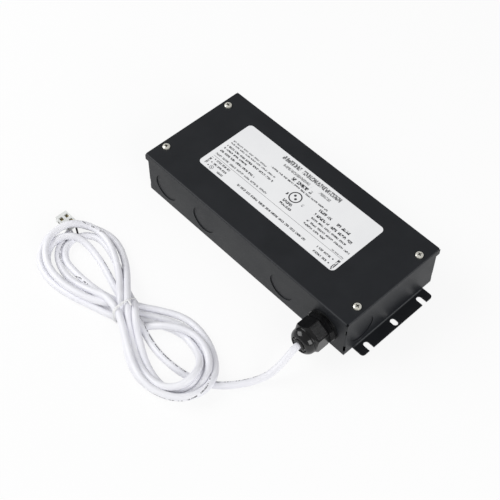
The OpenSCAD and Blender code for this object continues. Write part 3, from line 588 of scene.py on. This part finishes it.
class Nodes:
    """A node tree, with short calls that add nodes and work values out. A value is a number, a colour or an
    output socket."""

    def __init__(self, tree):
        self.tree = tree
        tree.nodes.clear()

    def feed(self, value, socket):
        """Puts a value on an input socket, or wires the output socket to it."""
        if isinstance(value, bpy.types.NodeSocket):
            self.tree.links.new(value, socket)
        else:
            socket.default_value = value

    def add(self, kind, inputs=None, **settings):
        """A node with its settings, and with what goes into its input sockets."""
        made = self.tree.nodes.new(kind)
        for key, value in settings.items():
            setattr(made, key, value)
        for key, value in (inputs or {}).items():
            self.feed(value, made.inputs[key])
        return made

    def maths(self, operation, *values, **settings):
        """The result of a math node."""
        made = self.add("ShaderNodeMath", dict(enumerate(values)), operation=operation, **settings)
        return made.outputs[0]

    def in_a_row(self, operation, first, *others):
        """The result of a math node between each value and what comes before it."""
        for other in others:
            first = self.maths(operation, first, other)
        return first

    def plus(self, *values):
        return self.in_a_row("ADD", *values)

    def times(self, *values):
        return self.in_a_row("MULTIPLY", *values)

    def least(self, *values):
        return self.in_a_row("MINIMUM", *values)

    def most(self, *values):
        return self.in_a_row("MAXIMUM", *values)

    def minus(self, value, other):
        return self.maths("SUBTRACT", value, other)

    def over(self, value, other):
        return self.maths("DIVIDE", value, other)

    def size(self, value):
        return self.maths("ABSOLUTE", value)

    def above(self, value, limit):
        return self.maths("GREATER_THAN", value, limit)

    def below(self, value, limit):
        return self.maths("LESS_THAN", value, limit)

    def diagonal(self, width, height):
        """The length of a rectangle's diagonal."""
        return self.maths("SQRT", self.plus(self.times(width, width), self.times(height, height)))

    def inside(self, value, low, high):
        """How far a value lies inside a range; less than nothing outside it."""
        return self.least(self.minus(value, low), self.minus(high, value))

    def ramp(self, value, slope, start):
        """A value times a slope plus a start, kept from 0 to 1."""
        return self.maths("MULTIPLY_ADD", value, slope, start, use_clamp=True)

    def mix(self, first, second, share):
        """A colour that gives way to a second one by a share."""
        made = self.add("ShaderNodeMix", {"A": first, "B": second, "Factor": share}, data_type="RGBA")
        return made.outputs["Result"]


class Group(Nodes):
    """A shared effect, as a node group with named inputs and outputs."""

    def __init__(self, name, inputs, outputs):
        super().__init__(bpy.data.node_groups.new(name, "ShaderNodeTree"))
        for label, kind, value in inputs:
            socket = self.tree.interface.new_socket(name=label, in_out="INPUT", socket_type=kind)
            if value is not None:
                socket.default_value = value
        for label, kind in outputs:
            self.tree.interface.new_socket(name=label, in_out="OUTPUT", socket_type=kind)
        self.given = self.add("NodeGroupInput").outputs

    def give(self, results):
        self.add("NodeGroupOutput", results)


class Shader(Nodes):
    """A material's nodes."""

    def __init__(self, name):
        self.material = bpy.data.materials.new(name)
        self.material.use_nodes = True
        super().__init__(self.material.node_tree)

    def place(self, group, inputs):
        """The output sockets of a shared effect, placed with this material's own values."""
        return self.add("ShaderNodeGroup", inputs, node_tree=group.tree).outputs

    def in_millimetres(self):
        """The x, y and z of the Object coordinates, in millimetres."""
        place = self.add("ShaderNodeTexCoord").outputs["Object"]
        scaled = self.add("ShaderNodeVectorMath", {0: place, "Scale": 1 / MM}, operation="SCALE")
        parts = self.add("ShaderNodeSeparateXYZ", {0: scaled.outputs[0]})
        return [parts.outputs[axis] for axis in "XYZ"]

    def bump(self, height, depth, strength, normal=None):
        """The normal of a relief, laid over another normal if there is one."""
        made = self.add("ShaderNodeBump", {"Height": height, "Distance": depth, "Strength": strength})
        if normal:
            self.feed(normal, made.inputs["Normal"])
        return made.outputs["Normal"]

    def finish(self, shader):
        """Shows a shader node, and gives the finished material."""
        self.add("ShaderNodeOutputMaterial", {"Surface": shader.outputs[0]})
        return self.material


# Effects that materials share


def build_grain():
    """Moulded or sprayed surface: soft patches of colour and gloss, and a fine height."""
    group = Group(
        "surface grain",
        [("Vector", VECTOR, None), ("Colour", COLOUR, (0.5, 0.5, 0.5, 1)),
         ("Patch colour", COLOUR, (0.4, 0.4, 0.4, 1)), ("Patch scale", NUMBER, 60.0),
         ("Grain scale", NUMBER, 900.0), ("Smooth", NUMBER, 0.3), ("Rough", NUMBER, 0.5)],
        [("Colour", COLOUR), ("Roughness", NUMBER), ("Height", NUMBER)])
    given = group.given
    patch = group.add("ShaderNodeTexNoise", {
        "Vector": given["Vector"], "Scale": given["Patch scale"], "Detail": 4.0, "Roughness": 0.6})
    grain = group.add("ShaderNodeTexNoise", {
        "Vector": given["Vector"], "Scale": given["Grain scale"], "Detail": 2.0, "Roughness": 0.5})
    share = group.add("ShaderNodeMapRange", {
        "Value": patch.outputs["Fac"], "From Min": 0.35, "From Max": 0.65})
    gloss = group.add("ShaderNodeMapRange", {
        "Value": group.plus(patch.outputs["Fac"], grain.outputs["Fac"]), "From Min": 0.6, "From Max": 1.4,
        "To Min": given["Smooth"], "To Max": given["Rough"]})
    group.give({"Colour": group.mix(given["Colour"], given["Patch colour"], share.outputs["Result"]),
                "Roughness": gloss.outputs["Result"], "Height": grain.outputs["Fac"]})
    return group


def build_print_row():
    """One row of plain marks, broken up like words, added to the ink so far. All lengths in millimetres."""
    group = Group(
        "print row",
        [("Ink", NUMBER, 0.0), ("Vector", VECTOR, None), ("Left", NUMBER, 0.0), ("Right", NUMBER, 1.0),
         ("Low", NUMBER, 0.0), ("High", NUMBER, 1.0), ("Tone", NUMBER, 1.0), ("Stroke", NUMBER, 1.0),
         ("Word", NUMBER, 6.0)],
        [("Ink", NUMBER)])
    given = group.given
    parts = group.add("ShaderNodeSeparateXYZ", {0: given["Vector"]})
    x, y = parts.outputs["X"], parts.outputs["Y"]
    inside = group.least(group.inside(x, given["Left"], given["Right"]),
                         group.inside(y, given["Low"], given["High"]))
    mask = group.ramp(inside, slope=6.0, start=0.5)
    seed = group.times(given["Low"], 13.7)
    gaps = group.add("ShaderNodeTexVoronoi", {
        "W": group.plus(group.over(x, given["Word"]), seed), "Scale": 1.0, "Randomness": 0.7},
        voronoi_dimensions="1D", feature="DISTANCE_TO_EDGE")
    words = group.ramp(gaps.outputs["Distance"], slope=26.0, start=-1.6)
    spot = group.add("ShaderNodeCombineXYZ", {
        "X": group.plus(group.over(x, given["Stroke"]), seed),
        "Y": group.over(y, group.times(given["Stroke"], 1.7))})
    strokes = group.add("ShaderNodeTexNoise", {
        "Vector": spot.outputs[0], "Scale": 1.0, "Detail": 1.0}, noise_dimensions="2D")
    marks = group.ramp(strokes.outputs["Fac"], slope=8.0, start=-3.1)
    group.give({"Ink": group.most(group.times(mask, words, marks, given["Tone"]), given["Ink"])})
    return group


def build_print_ring():
    """A ring, or a dot where its bore is nothing, added to the ink so far. All lengths in millimetres."""
    group = Group(
        "print ring",
        [("Ink", NUMBER, 0.0), ("Vector", VECTOR, None), ("Centre", VECTOR, None), ("Outer", NUMBER, 1.0),
         ("Inner", NUMBER, -1.0), ("Tone", NUMBER, 1.0)],
        [("Ink", NUMBER)])
    given = group.given
    away = group.add("ShaderNodeVectorMath", {0: given["Vector"], 1: given["Centre"]}, operation="DISTANCE")
    inside = group.inside(away.outputs["Value"], given["Inner"], given["Outer"])
    mask = group.ramp(inside, slope=6.0, start=0.5)
    group.give({"Ink": group.most(group.times(mask, given["Tone"]), given["Ink"])})
    return group


def build_wire_turns():
    """Round wire wound side by side: its height across the turns, and painted shade in the grooves between
    them.
    """
    group = Group("wire turns", [("Turns", NUMBER, None)], [("Height", NUMBER), ("Groove shade", NUMBER)])
    height = group.size(group.maths("SINE", group.times(group.given["Turns"], math.pi)))
    group.give({"Height": height, "Groove shade": group.ramp(height, slope=-2.2, start=1.0)})
    return group


GRAIN = build_grain()
PRINT_ROW = build_print_row()
PRINT_RING = build_print_ring()
WIRE_TURNS = build_wire_turns()


def grained_surface(shader, colour, patch, smooth, rough, patch_scale=60.0, grain_scale=900.0, depth=0.00002,
                    strength=0.3, metallic=0.0, specular=0.5, ink=None, mark=None, relief=None):
    """The material of a shader whose surface has the shared grain: colour, that of its patches, least and
    most roughness. With no patches, the colour is a socket. Where there is ink, it gives way to a mark's
    colour. A relief is a height and its depth in metres."""
    place = shader.add("ShaderNodeTexCoord").outputs["Object"]
    values = {"Vector": place, "Patch scale": patch_scale, "Grain scale": grain_scale, "Smooth": smooth,
              "Rough": rough}
    if patch:
        values.update({"Colour": (*colour, 1), "Patch colour": (*patch, 1)})
    grain = shader.place(GRAIN, values)
    paint = grain["Colour"] if patch else colour
    if ink:
        paint = shader.mix(paint, (*mark, 1), ink)
    normal = shader.bump(grain["Height"], depth, strength)
    if relief:
        normal = shader.bump(*relief, 1.0, normal)
    return shader.finish(shader.add("ShaderNodeBsdfPrincipled", {
        "Base Color": paint, "Roughness": grain["Roughness"], "Metallic": metallic,
        "Specular IOR Level": specular, "Normal": normal}))


def finish_material(name, colour, patch, smooth, rough, **surface):
    """A plain finish of the shared grain."""
    return grained_surface(Shader(name), colour, patch, smooth, rough, **surface)


# Measures of the materials, in millimetres

# Rows of marks on the label: left, right, low, high, tone, stroke and word length, from the part's origin.
# They say nothing.
LABEL_ROWS = [
    (-38.0, -16.0, 29.6, 34.4, 0.84, 1.5, 90), (-13.0, 33.5, 29.6, 34.4, 0.84, 1.5, 90),
    (-31.0, 1.5, 23.7, 26.8, 0.68, 1.2, 60), (4.0, 27.0, 23.7, 26.8, 0.68, 1.2, 60),
    (-14.5, 9.5, 18.0, 21.7, 1.0, 1.4, 14), (-37.5, 33.0, 14.6, 16.5, 1.0, 0.7, 7),
    (-83.0, -39.5, 11.0, 12.8, 0.81, 0.7, 8), (-83.0, -25.5, 7.8, 9.5, 0.94, 0.7, 7),
    (-83.0, -23.5, 3.0, 5.2, 1.0, 0.9, 8), (-83.0, -53.5, -0.9, 1.1, 1.0, 0.8, 9),
    (-83.0, -38.5, -5.5, -3.3, 1.0, 0.9, 8), (-83.0, -17.5, -10.7, -8.6, 0.81, 0.8, 10),
    (-6.2, -4.2, 2.6, 5.6, 1.0, 1.2, 40), (10.2, 14.8, 2.6, 5.6, 1.0, 1.2, 40),
    (-3.0, 9.5, -4.7, -1.6, 1.0, 1.1, 40), (-3.0, 10.8, -8.5, -6.2, 1.0, 0.9, 40),
    (27.5, 42.0, 9.8, 12.8, 1.0, 1.1, 10), (48.5, 64.0, 9.8, 12.8, 1.0, 1.1, 10),
    (27.5, 44.5, 3.9, 6.8, 1.0, 1.1, 9), (47.0, 72.0, 3.9, 6.8, 1.0, 1.1, 12),
    (27.5, 69.5, -0.6, 1.4, 1.0, 0.8, 9), (27.5, 78.0, -5.2, -3.2, 1.0, 0.8, 10),
    (27.5, 53.5, -9.4, -7.4, 1.0, 0.8, 10), (64.0, 78.0, -12.0, -10.7, 0.81, 0.6, 6),
    (-82.6, -80.6, -24.6, -15.0, 1.0, 1.0, 90), (-75.5, -58.8, -16.6, -14.4, 1.0, 0.8, 6),
    (-75.5, -58.8, -21.0, -18.9, 1.0, 0.8, 6), (-68.5, -58.8, -25.6, -23.5, 1.0, 0.8, 30),
    (-43.0, 42.0, -22.2, -19.9, 1.0, 0.8, 8), (53.5, 69.5, -19.2, -17.1, 1.0, 0.8, 8),
    (53.5, 69.5, -24.6, -22.5, 1.0, 0.8, 8), (76.2, 78.8, -27.0, -14.6, 1.0, 1.0, 90)]

# Rings and dots on the label: x and y of the middle, outer and inner radius, and tone
LABEL_RINGS = [
    (3.1, 6.0, 6.3, 5.1, 1.0), (1.6, 7.4, 1.3, -1.0, 0.95), (4.6, 4.6, 1.3, -1.0, 0.95),
    (-73.4, -24.4, 2.2, 1.7, 0.9), (-73.4, -24.4, 0.8, -1.0, 0.9), (-77.7, -15.4, 0.7, -1.0, 1.0),
    (-77.7, -20.0, 0.7, -1.0, 1.0), (-77.7, -24.5, 0.7, -1.0, 1.0), (72.2, -18.1, 0.75, -1.0, 1.0),
    (72.2, -23.6, 0.75, -1.0, 1.0)]

# The rule across the label: left, right, low and high
LABEL_RULE = (-83.0, 78.0, -13.05, -12.75)

# The cord's line of print: half its width in turns round the cord, how sharply it ends, its words and its
# strokes to the metre, and the metres of the strokes' pattern that a turn round the cord takes up
PRINT_HALF_W = 0.036
PRINT_EDGE = 110.0
PRINT_WORDS = 95.0
PRINT_STROKES = 900.0
PRINT_ROUND = 0.012

# The raised dots on the gland nut: how far out from the axis the knurled faces lie, half their width, the
# stretch of y that they take up, and the dots' pitch and height
KNURL_OUT = 12.6
KNURL_HALF_W = 6.4
KNURL_Y = (-74.4, -64.2)
KNURL_PITCH = 1.5
KNURL_H = 0.5

# The fold between an end wall and its flange, along which a highlight is painted: how far inside the lid's
# end it lies, and its height
FLANGE_FOLD = (0.8, 1.7)

# The lid screws: radius of the head and of the recess in it, how much lower the head lies at a millimetre
# from its middle, and how far below its crown the shade starts
SCREW_HEAD_R = 3.4
RECESS_R = 2.1
SCREW_DOME = 0.08
SHADE_FROM = 0.12
SCREWS = node_box("lid_screws")
SCREW_AT = (SCREWS.high[0] - SCREW_HEAD_R, SCREWS.high[1] - SCREW_HEAD_R)
SCREW_TOP = SCREWS.high[2]

# The wire on the transformer's bobbin, its height in the turns, and the turns on the chokes' rings
BOBBIN_WIRE = 0.7
WIRE_H = 0.3
LINE_CHOKE_TURNS = 72
OUTPUT_CHOKE_TURNS = 44

# A capacitor's stripe starts at this share of its half width, and its bare top is so thick
STRIPE_FROM = 0.82
CAN_TOP = 0.7

# The pitch and height of the copper runs on a board
RUN_PITCH = 2.6
RUN_H = 0.04

# The length of the fuse's metal caps, and the y between the connector's two leads
FUSE_CAP = 5.2
BETWEEN_LEADS = -141.3

# Materials


def label_film():
    """Pale film with rows of marks, rings and dots, and a rule."""
    film = Shader("label film")
    x, y, _ = film.in_millimetres()
    flat = film.add("ShaderNodeCombineXYZ", {"X": x, "Y": y}).outputs[0]
    ink = 0.0
    for left, right, low, high, tone, stroke, word in LABEL_ROWS:
        ink = film.place(PRINT_ROW, {"Ink": ink, "Vector": flat, "Left": left, "Right": right, "Low": low,
                                     "High": high, "Tone": tone, "Stroke": stroke, "Word": word})["Ink"]
    for *centre, outer, inner, tone in LABEL_RINGS:
        ink = film.place(PRINT_RING, {"Ink": ink, "Vector": flat, "Centre": (*centre, 0), "Outer": outer,
                                      "Inner": inner, "Tone": tone})["Ink"]
    left, right, low, high = LABEL_RULE
    inside = film.least(film.inside(x, left, right), film.inside(y, low, high))
    ink = film.most(ink, film.ramp(inside, slope=8.0, start=0.5))
    return grained_surface(film, (0.925, 0.93, 0.94), (0.89, 0.895, 0.91), 0.4, 0.55, patch_scale=25,
                           grain_scale=2200, strength=0.15, ink=ink, mark=(0.03, 0.03, 0.035))


def cord_jacket():
    """White PVC, with a line of small dark marks along it that say nothing."""
    jacket = Shader("cord jacket")
    length = jacket.add("ShaderNodeUVMap", uv_map="length")
    parts = jacket.add("ShaderNodeSeparateXYZ", {0: length.outputs["UV"]})
    metres, turns = parts.outputs["X"], parts.outputs["Y"]
    off_line = jacket.size(jacket.minus(jacket.maths("FRACT", turns), 0.5))
    band = jacket.ramp(off_line, slope=-PRINT_EDGE, start=PRINT_EDGE * PRINT_HALF_W)
    words = jacket.add("ShaderNodeTexVoronoi", {"W": metres, "Scale": PRINT_WORDS, "Randomness": 0.9},
                       voronoi_dimensions="1D", feature="DISTANCE_TO_EDGE")
    spot = jacket.add("ShaderNodeCombineXYZ", {"X": metres, "Y": jacket.times(turns, PRINT_ROUND)})
    strokes = jacket.add("ShaderNodeTexNoise", {
        "Vector": spot.outputs[0], "Scale": PRINT_STROKES, "Detail": 1.0}, noise_dimensions="2D")
    apart = jacket.ramp(words.outputs["Distance"], slope=20.0, start=-1.6)
    marks = jacket.ramp(strokes.outputs["Fac"], slope=5.0, start=-1.9)
    return grained_surface(jacket, (0.9, 0.9, 0.935), (0.86, 0.86, 0.91), 0.34, 0.44, patch_scale=40,
                           grain_scale=2500, strength=0.08, ink=jacket.times(band, apart, marks, 0.9),
                           mark=(0.05, 0.05, 0.06))


def black_nylon():
    """Moulded nylon; every other face of the gland nut's hexagon carries a fine grid of raised dots, with a
    painted highlight on their tops.
    """
    nylon = Shader("black nylon")
    x, y, z = nylon.in_millimetres()
    x = nylon.minus(x, GLAND_MOUTH[0])
    z = nylon.minus(z, GLAND_MOUTH[2])
    third = 2 * math.pi / 3
    turn = nylon.plus(nylon.maths("ARCTAN2", z, x), 2 * third)
    off_face = nylon.minus(nylon.maths("MODULO", turn, third), third / 2)
    radius = nylon.diagonal(x, z)
    out = nylon.times(radius, nylon.maths("COSINE", off_face))
    across = nylon.times(radius, nylon.maths("SINE", off_face))
    on_face = nylon.times(nylon.above(out, KNURL_OUT), nylon.below(nylon.size(across), KNURL_HALF_W),
                          nylon.above(y, KNURL_Y[0]), nylon.below(y, KNURL_Y[1]))
    wave = 2 * math.pi / KNURL_PITCH
    dots = nylon.times(nylon.maths("SINE", nylon.times(across, wave)),
                       nylon.maths("SINE", nylon.times(y, wave)))
    # The dots' height gives their relief and also paints their tops paler: a painted highlight.
    knurl_relief_and_highlight = nylon.times(nylon.maths("MULTIPLY_ADD", dots, 0.5, 0.5), on_face)
    return grained_surface(nylon, (0.004, 0.004, 0.0045), (0.007, 0.007, 0.0075), 0.1, 0.2, patch_scale=120,
                           grain_scale=1500, ink=nylon.times(knurl_relief_and_highlight, 0.8), mark=(0.04, 0.04, 0.042),
                           relief=(knurl_relief_and_highlight, KNURL_H * MM))


def black_enamel():
    """Sprayed enamel, with a painted highlight along the lid's folds and where the end walls fold out into
    flanges.
    """
    enamel = Shader("black enamel")
    x, y, z = enamel.in_millimetres()
    lid = node_box("lid")
    off_end = enamel.minus(lid.high[0], enamel.size(x))
    off_side = enamel.minus(lid.high[1], enamel.size(y))
    off_top = enamel.minus(lid.high[2], z)
    off_lid_fold = enamel.most(enamel.least(off_end, off_side), off_top)
    off_flange_fold = enamel.most(enamel.size(enamel.minus(off_end, FLANGE_FOLD[0])),
                                  enamel.size(enamel.minus(z, FLANGE_FOLD[1])))
    # Painted highlight: the enamel is made paler along the lid's folds and the flange folds, where light
    # catches the bends. The mark colour below is this highlight.
    lid_fold_highlight = enamel.ramp(off_lid_fold, slope=-2.0, start=2.2)
    flange_fold_highlight = enamel.ramp(off_flange_fold, slope=-3.0, start=2.2)
    painted_fold_highlight = enamel.most(enamel.times(lid_fold_highlight, 0.35), flange_fold_highlight)
    return grained_surface(enamel, (0.0118, 0.0132, 0.0158), (0.0145, 0.016, 0.019), 0.42, 0.58,
                           patch_scale=35, grain_scale=1400, depth=0.00004, specular=0.27, ink=painted_fold_highlight,
                           mark=(0.066, 0.069, 0.074))


def zinc_screw():
    """Zinc plate with a faint yellow cast; the cross recess of each lid screw is dark with shade."""
    zinc = Shader("zinc plated screw")
    x, y, z = zinc.in_millimetres()
    away = zinc.diagonal(zinc.minus(zinc.size(x), SCREW_AT[0]), zinc.minus(zinc.size(y), SCREW_AT[1]))
    crown = zinc.maths("MULTIPLY_ADD", zinc.times(away, away), -SCREW_DOME, SCREW_TOP - SHADE_FROM)
    shade = zinc.ramp(zinc.minus(crown, z), slope=4.0, start=0.0)
    return grained_surface(zinc, (0.96, 0.95, 0.88), (0.82, 0.8, 0.7), 0.2, 0.36, patch_scale=500,
                           grain_scale=3000, metallic=0.6, ink=zinc.times(shade, zinc.below(away, RECESS_R)),
                           mark=(0.03, 0.03, 0.02))


def lacquered_wire(name, ring=None, count=None):
    """Lacquered copper wire, darker in the grooves between turns as painted shade. A count of turns goes
    round a ring, which lies about the middle of a node;
    otherwise they lie one above the other, as on a bobbin."""
    copper = Shader(name)
    x, y, z = copper.in_millimetres()
    if ring:
        middle = node_box(ring).middle
        angle = copper.maths("ARCTAN2", copper.minus(y, middle[1]), copper.minus(x, middle[0]))
        turns = copper.times(angle, count / (2 * math.pi))
    else:
        turns = copper.over(z, BOBBIN_WIRE)
    wire = copper.place(WIRE_TURNS, {"Turns": turns})
    # The grooves between the turns are painted darker: painted shade.
    return grained_surface(copper, (0.62, 0.25, 0.08), (0.5, 0.17, 0.05), 0.18, 0.32, patch_scale=150,
                           metallic=1.0, ink=wire["Groove shade"], mark=(0.08, 0.03, 0.015),
                           relief=(wire["Height"], WIRE_H * MM))


def capacitor_can(name, node, colour):
    """A shrunk sleeve with a pale stripe down its -x side; the crimped top is bare aluminium."""
    can = Shader(name)
    x, _, z = can.in_millimetres()
    _, high, middle = node_box(node)
    stripe = can.below(x, middle[0] - STRIPE_FROM * (high[0] - middle[0]))
    top = can.above(z, high[2] - CAN_TOP)
    return grained_surface(can, colour, [1.5 * c for c in colour], 0.18, 0.34, patch_scale=200, metallic=top,
                           ink=can.most(stripe, top), mark=(0.7, 0.7, 0.71))


def green_board():
    """Solder mask over copper runs, with tinned pads."""
    board = Shader("green board")
    x, y, z = board.in_millimetres()
    face = board.add("ShaderNodeCombineXYZ", {"X": y, "Y": board.plus(x, z)}).outputs[0]
    runs = board.add("ShaderNodeTexBrick", {
        "Vector": face, "Color1": (0.02, 0.16, 0.06, 1), "Color2": (0.017, 0.13, 0.05, 1),
        "Mortar": (0.05, 0.27, 0.1, 1), "Scale": 1.0, "Mortar Size": 0.3, "Mortar Smooth": 0.3,
        "Brick Width": 5 * RUN_PITCH, "Row Height": RUN_PITCH}, squash=0.6, squash_frequency=3)
    pads = board.add("ShaderNodeTexVoronoi", {"Vector": face, "Scale": 0.2, "Randomness": 0.35},
                     voronoi_dimensions="2D")
    pad = board.ramp(pads.outputs["Distance"], slope=-14.0, start=2.6)
    return grained_surface(board, runs.outputs["Color"], None, 0.22, 0.38, ink=pad, mark=(0.6, 0.6, 0.6),
                           relief=(runs.outputs["Fac"], RUN_H * MM))


def capped_fuse():
    """A ceramic tube between two nickel-plated caps."""
    fuse = Shader("capped fuse")
    x, _, _ = fuse.in_millimetres()
    _, high, middle = node_box("fuse")
    cap = fuse.above(fuse.size(fuse.minus(x, middle[0])), high[0] - middle[0] - FUSE_CAP)
    return grained_surface(fuse, (0.75, 0.74, 0.7), (0.7, 0.68, 0.62), 0.25, 0.4, patch_scale=200,
                           metallic=cap, ink=cap, mark=(0.62, 0.6, 0.55))


def connector_lead_pair():
    """The two thin leads of the connector: the one nearer the front is pale, the other black."""
    leads = Shader("connector lead pair")
    _, y, _ = leads.in_millimetres()
    return grained_surface(leads, (0.012, 0.012, 0.012), (0.02, 0.02, 0.02), 0.35, 0.5,
                           ink=leads.below(y, BETWEEN_LEADS), mark=(0.72, 0.72, 0.74))


# Plain finishes: colour, that of the patches, least and most roughness, and how metallic
PLAIN_FINISHES = {
    "black_rubber": ((0.012, 0.012, 0.012), (0.02, 0.02, 0.02), 0.5, 0.7, 0.0),
    "white_tie": ((0.93, 0.93, 0.935), (0.89, 0.89, 0.90), 0.3, 0.45, 0.0),
    "clear_plastic": ((0.86, 0.87, 0.86), (0.8, 0.82, 0.8), 0.12, 0.25, 0.0),
    "black_lead": ((0.012, 0.012, 0.012), (0.02, 0.02, 0.02), 0.35, 0.5, 0.0),
    "pale_lead": ((0.75, 0.75, 0.77), (0.68, 0.68, 0.7), 0.35, 0.5, 0.0),
    "green_lead": ((0.03, 0.25, 0.07), (0.02, 0.2, 0.05), 0.35, 0.5, 0.0),
    "liner_paper": ((0.55, 0.5, 0.4), (0.45, 0.4, 0.3), 0.6, 0.8, 0.0),
    "turned_steel": ((0.6, 0.6, 0.6), (0.5, 0.5, 0.5), 0.25, 0.4, 1.0),
    "ferrite": ((0.035, 0.035, 0.038), (0.05, 0.05, 0.05), 0.5, 0.7, 0.0),
    "bobbin_plastic": ((0.6, 0.56, 0.4), (0.52, 0.48, 0.33), 0.3, 0.5, 0.0),
    "yellow_case": ((0.75, 0.55, 0.08), (0.65, 0.45, 0.05), 0.3, 0.5, 0.0),
    "blue_epoxy": ((0.03, 0.12, 0.5), (0.02, 0.09, 0.4), 0.2, 0.4, 0.0),
    "black_epoxy": ((0.015, 0.015, 0.015), (0.025, 0.025, 0.025), 0.4, 0.6, 0.0),
    "plain_aluminium": ((0.75, 0.75, 0.76), (0.66, 0.66, 0.67), 0.3, 0.45, 1.0),
    "grey_silicone": ((0.35, 0.36, 0.38), (0.3, 0.31, 0.33), 0.5, 0.7, 0.0),
    "green_plastic": ((0.03, 0.35, 0.1), (0.02, 0.28, 0.07), 0.3, 0.45, 0.0),
}

# The finish of each slot in the record
MATERIALS = {
    "black_enamel": black_enamel(),
    "zinc_screw": zinc_screw(),
    "label_film": label_film(),
    "black_nylon": black_nylon(),
    "cord_jacket": cord_jacket(),
    "brass_contact": finish_material("brass contact", (0.75, 0.62, 0.3), (0.03, 0.028, 0.02), 0.2, 0.4,
                                     patch_scale=420, metallic=1.0),
    "green_board": green_board(),
    "fuse_ceramic": capped_fuse(),
}
for slot, (*surface, metallic) in PLAIN_FINISHES.items():
    MATERIALS[slot] = finish_material(slot.replace("_", " "), *surface, metallic=metallic)

# Nodes that have a finish of their own
NODE_MATERIALS = {
    "connector_leads": connector_lead_pair(),
    "transformer_winding": lacquered_wire("bobbin wire"),
    "line_choke_windings": lacquered_wire("line choke wire", "line_choke_windings", LINE_CHOKE_TURNS),
    "output_choke_winding": lacquered_wire("output choke wire", "output_choke_winding", OUTPUT_CHOKE_TURNS),
    "output_choke_core": finish_material("yellow painted core", (0.7, 0.6, 0.1), (0.6, 0.5, 0.07), 0.4, 0.6),
    "mains_capacitors": capacitor_can("blue sleeve", "mains_capacitors", (0.02, 0.03, 0.08)),
    "output_capacitors": capacitor_can("black sleeve", "output_capacitors", (0.012, 0.012, 0.014)),
}


def dress(obj, *finishes):
    """Gives a new piece its materials, the first for slot 0."""
    obj.data.materials.clear()
    for finish in finishes:
        obj.data.materials.append(finish)


def dress_nodes():
    """Each CAD node takes its own finish, or that of its slot in the record."""
    for part in frame["record"]["subparts"]:
        finish = NODE_MATERIALS.get(part["node"]) or MATERIALS[part["material_slot"]]
        for place in nodes[part["node"]].material_slots:
            place.material = finish


dress_nodes()
dress(cord, MATERIALS["cord_jacket"])
dress(tie, MATERIALS["white_tie"],
      finish_material("cut tie", (0.12, 0.12, 0.12), (0.3, 0.3, 0.3), 0.3, 0.5, patch_scale=2500))

# Surroundings

# How much of the floor's look is plain white, and how bright the room is
FLOOR_WHITE = 0.88
ROOM_LIGHT = 0.34


def white_floor():
    """A pale paint that takes the shadow, mostly plain white to the camera and in reflections."""
    paint = Shader("white floor")
    path = paint.add("ShaderNodeLightPath").outputs
    seen = paint.most(path["Is Camera Ray"], path["Is Glossy Ray"], path["Is Transmission Ray"])
    matt = paint.add("ShaderNodeBsdfDiffuse", {"Color": (0.9, 0.9, 0.9, 1)})
    glow = paint.add("ShaderNodeEmission", {"Color": WHITE, "Strength": 1.0})
    return paint.finish(paint.add("ShaderNodeMixShader", {
        0: paint.times(seen, FLOOR_WHITE), 1: matt.outputs[0], 2: glow.outputs[0]}))


def light_room():
    """An even light all round, plain white to the camera."""
    world = bpy.data.worlds.new("studio")
    bpy.context.scene.world = world
    world.use_nodes = True
    room = Nodes(world.node_tree)
    path = room.add("ShaderNodeLightPath").outputs
    dim, white = [room.add("ShaderNodeBackground", {"Color": WHITE, "Strength": strength}).outputs[0]
                  for strength in (ROOM_LIGHT, 1.0)]
    shown = room.add("ShaderNodeMixShader", {0: path["Is Camera Ray"], 1: dim, 2: white})
    room.add("ShaderNodeOutputWorld", {"Surface": shown.outputs[0]})


dress(floor, white_floor())
light_room()

# The view transform, and the end

bpy.context.scene.view_settings.view_transform = "Standard"
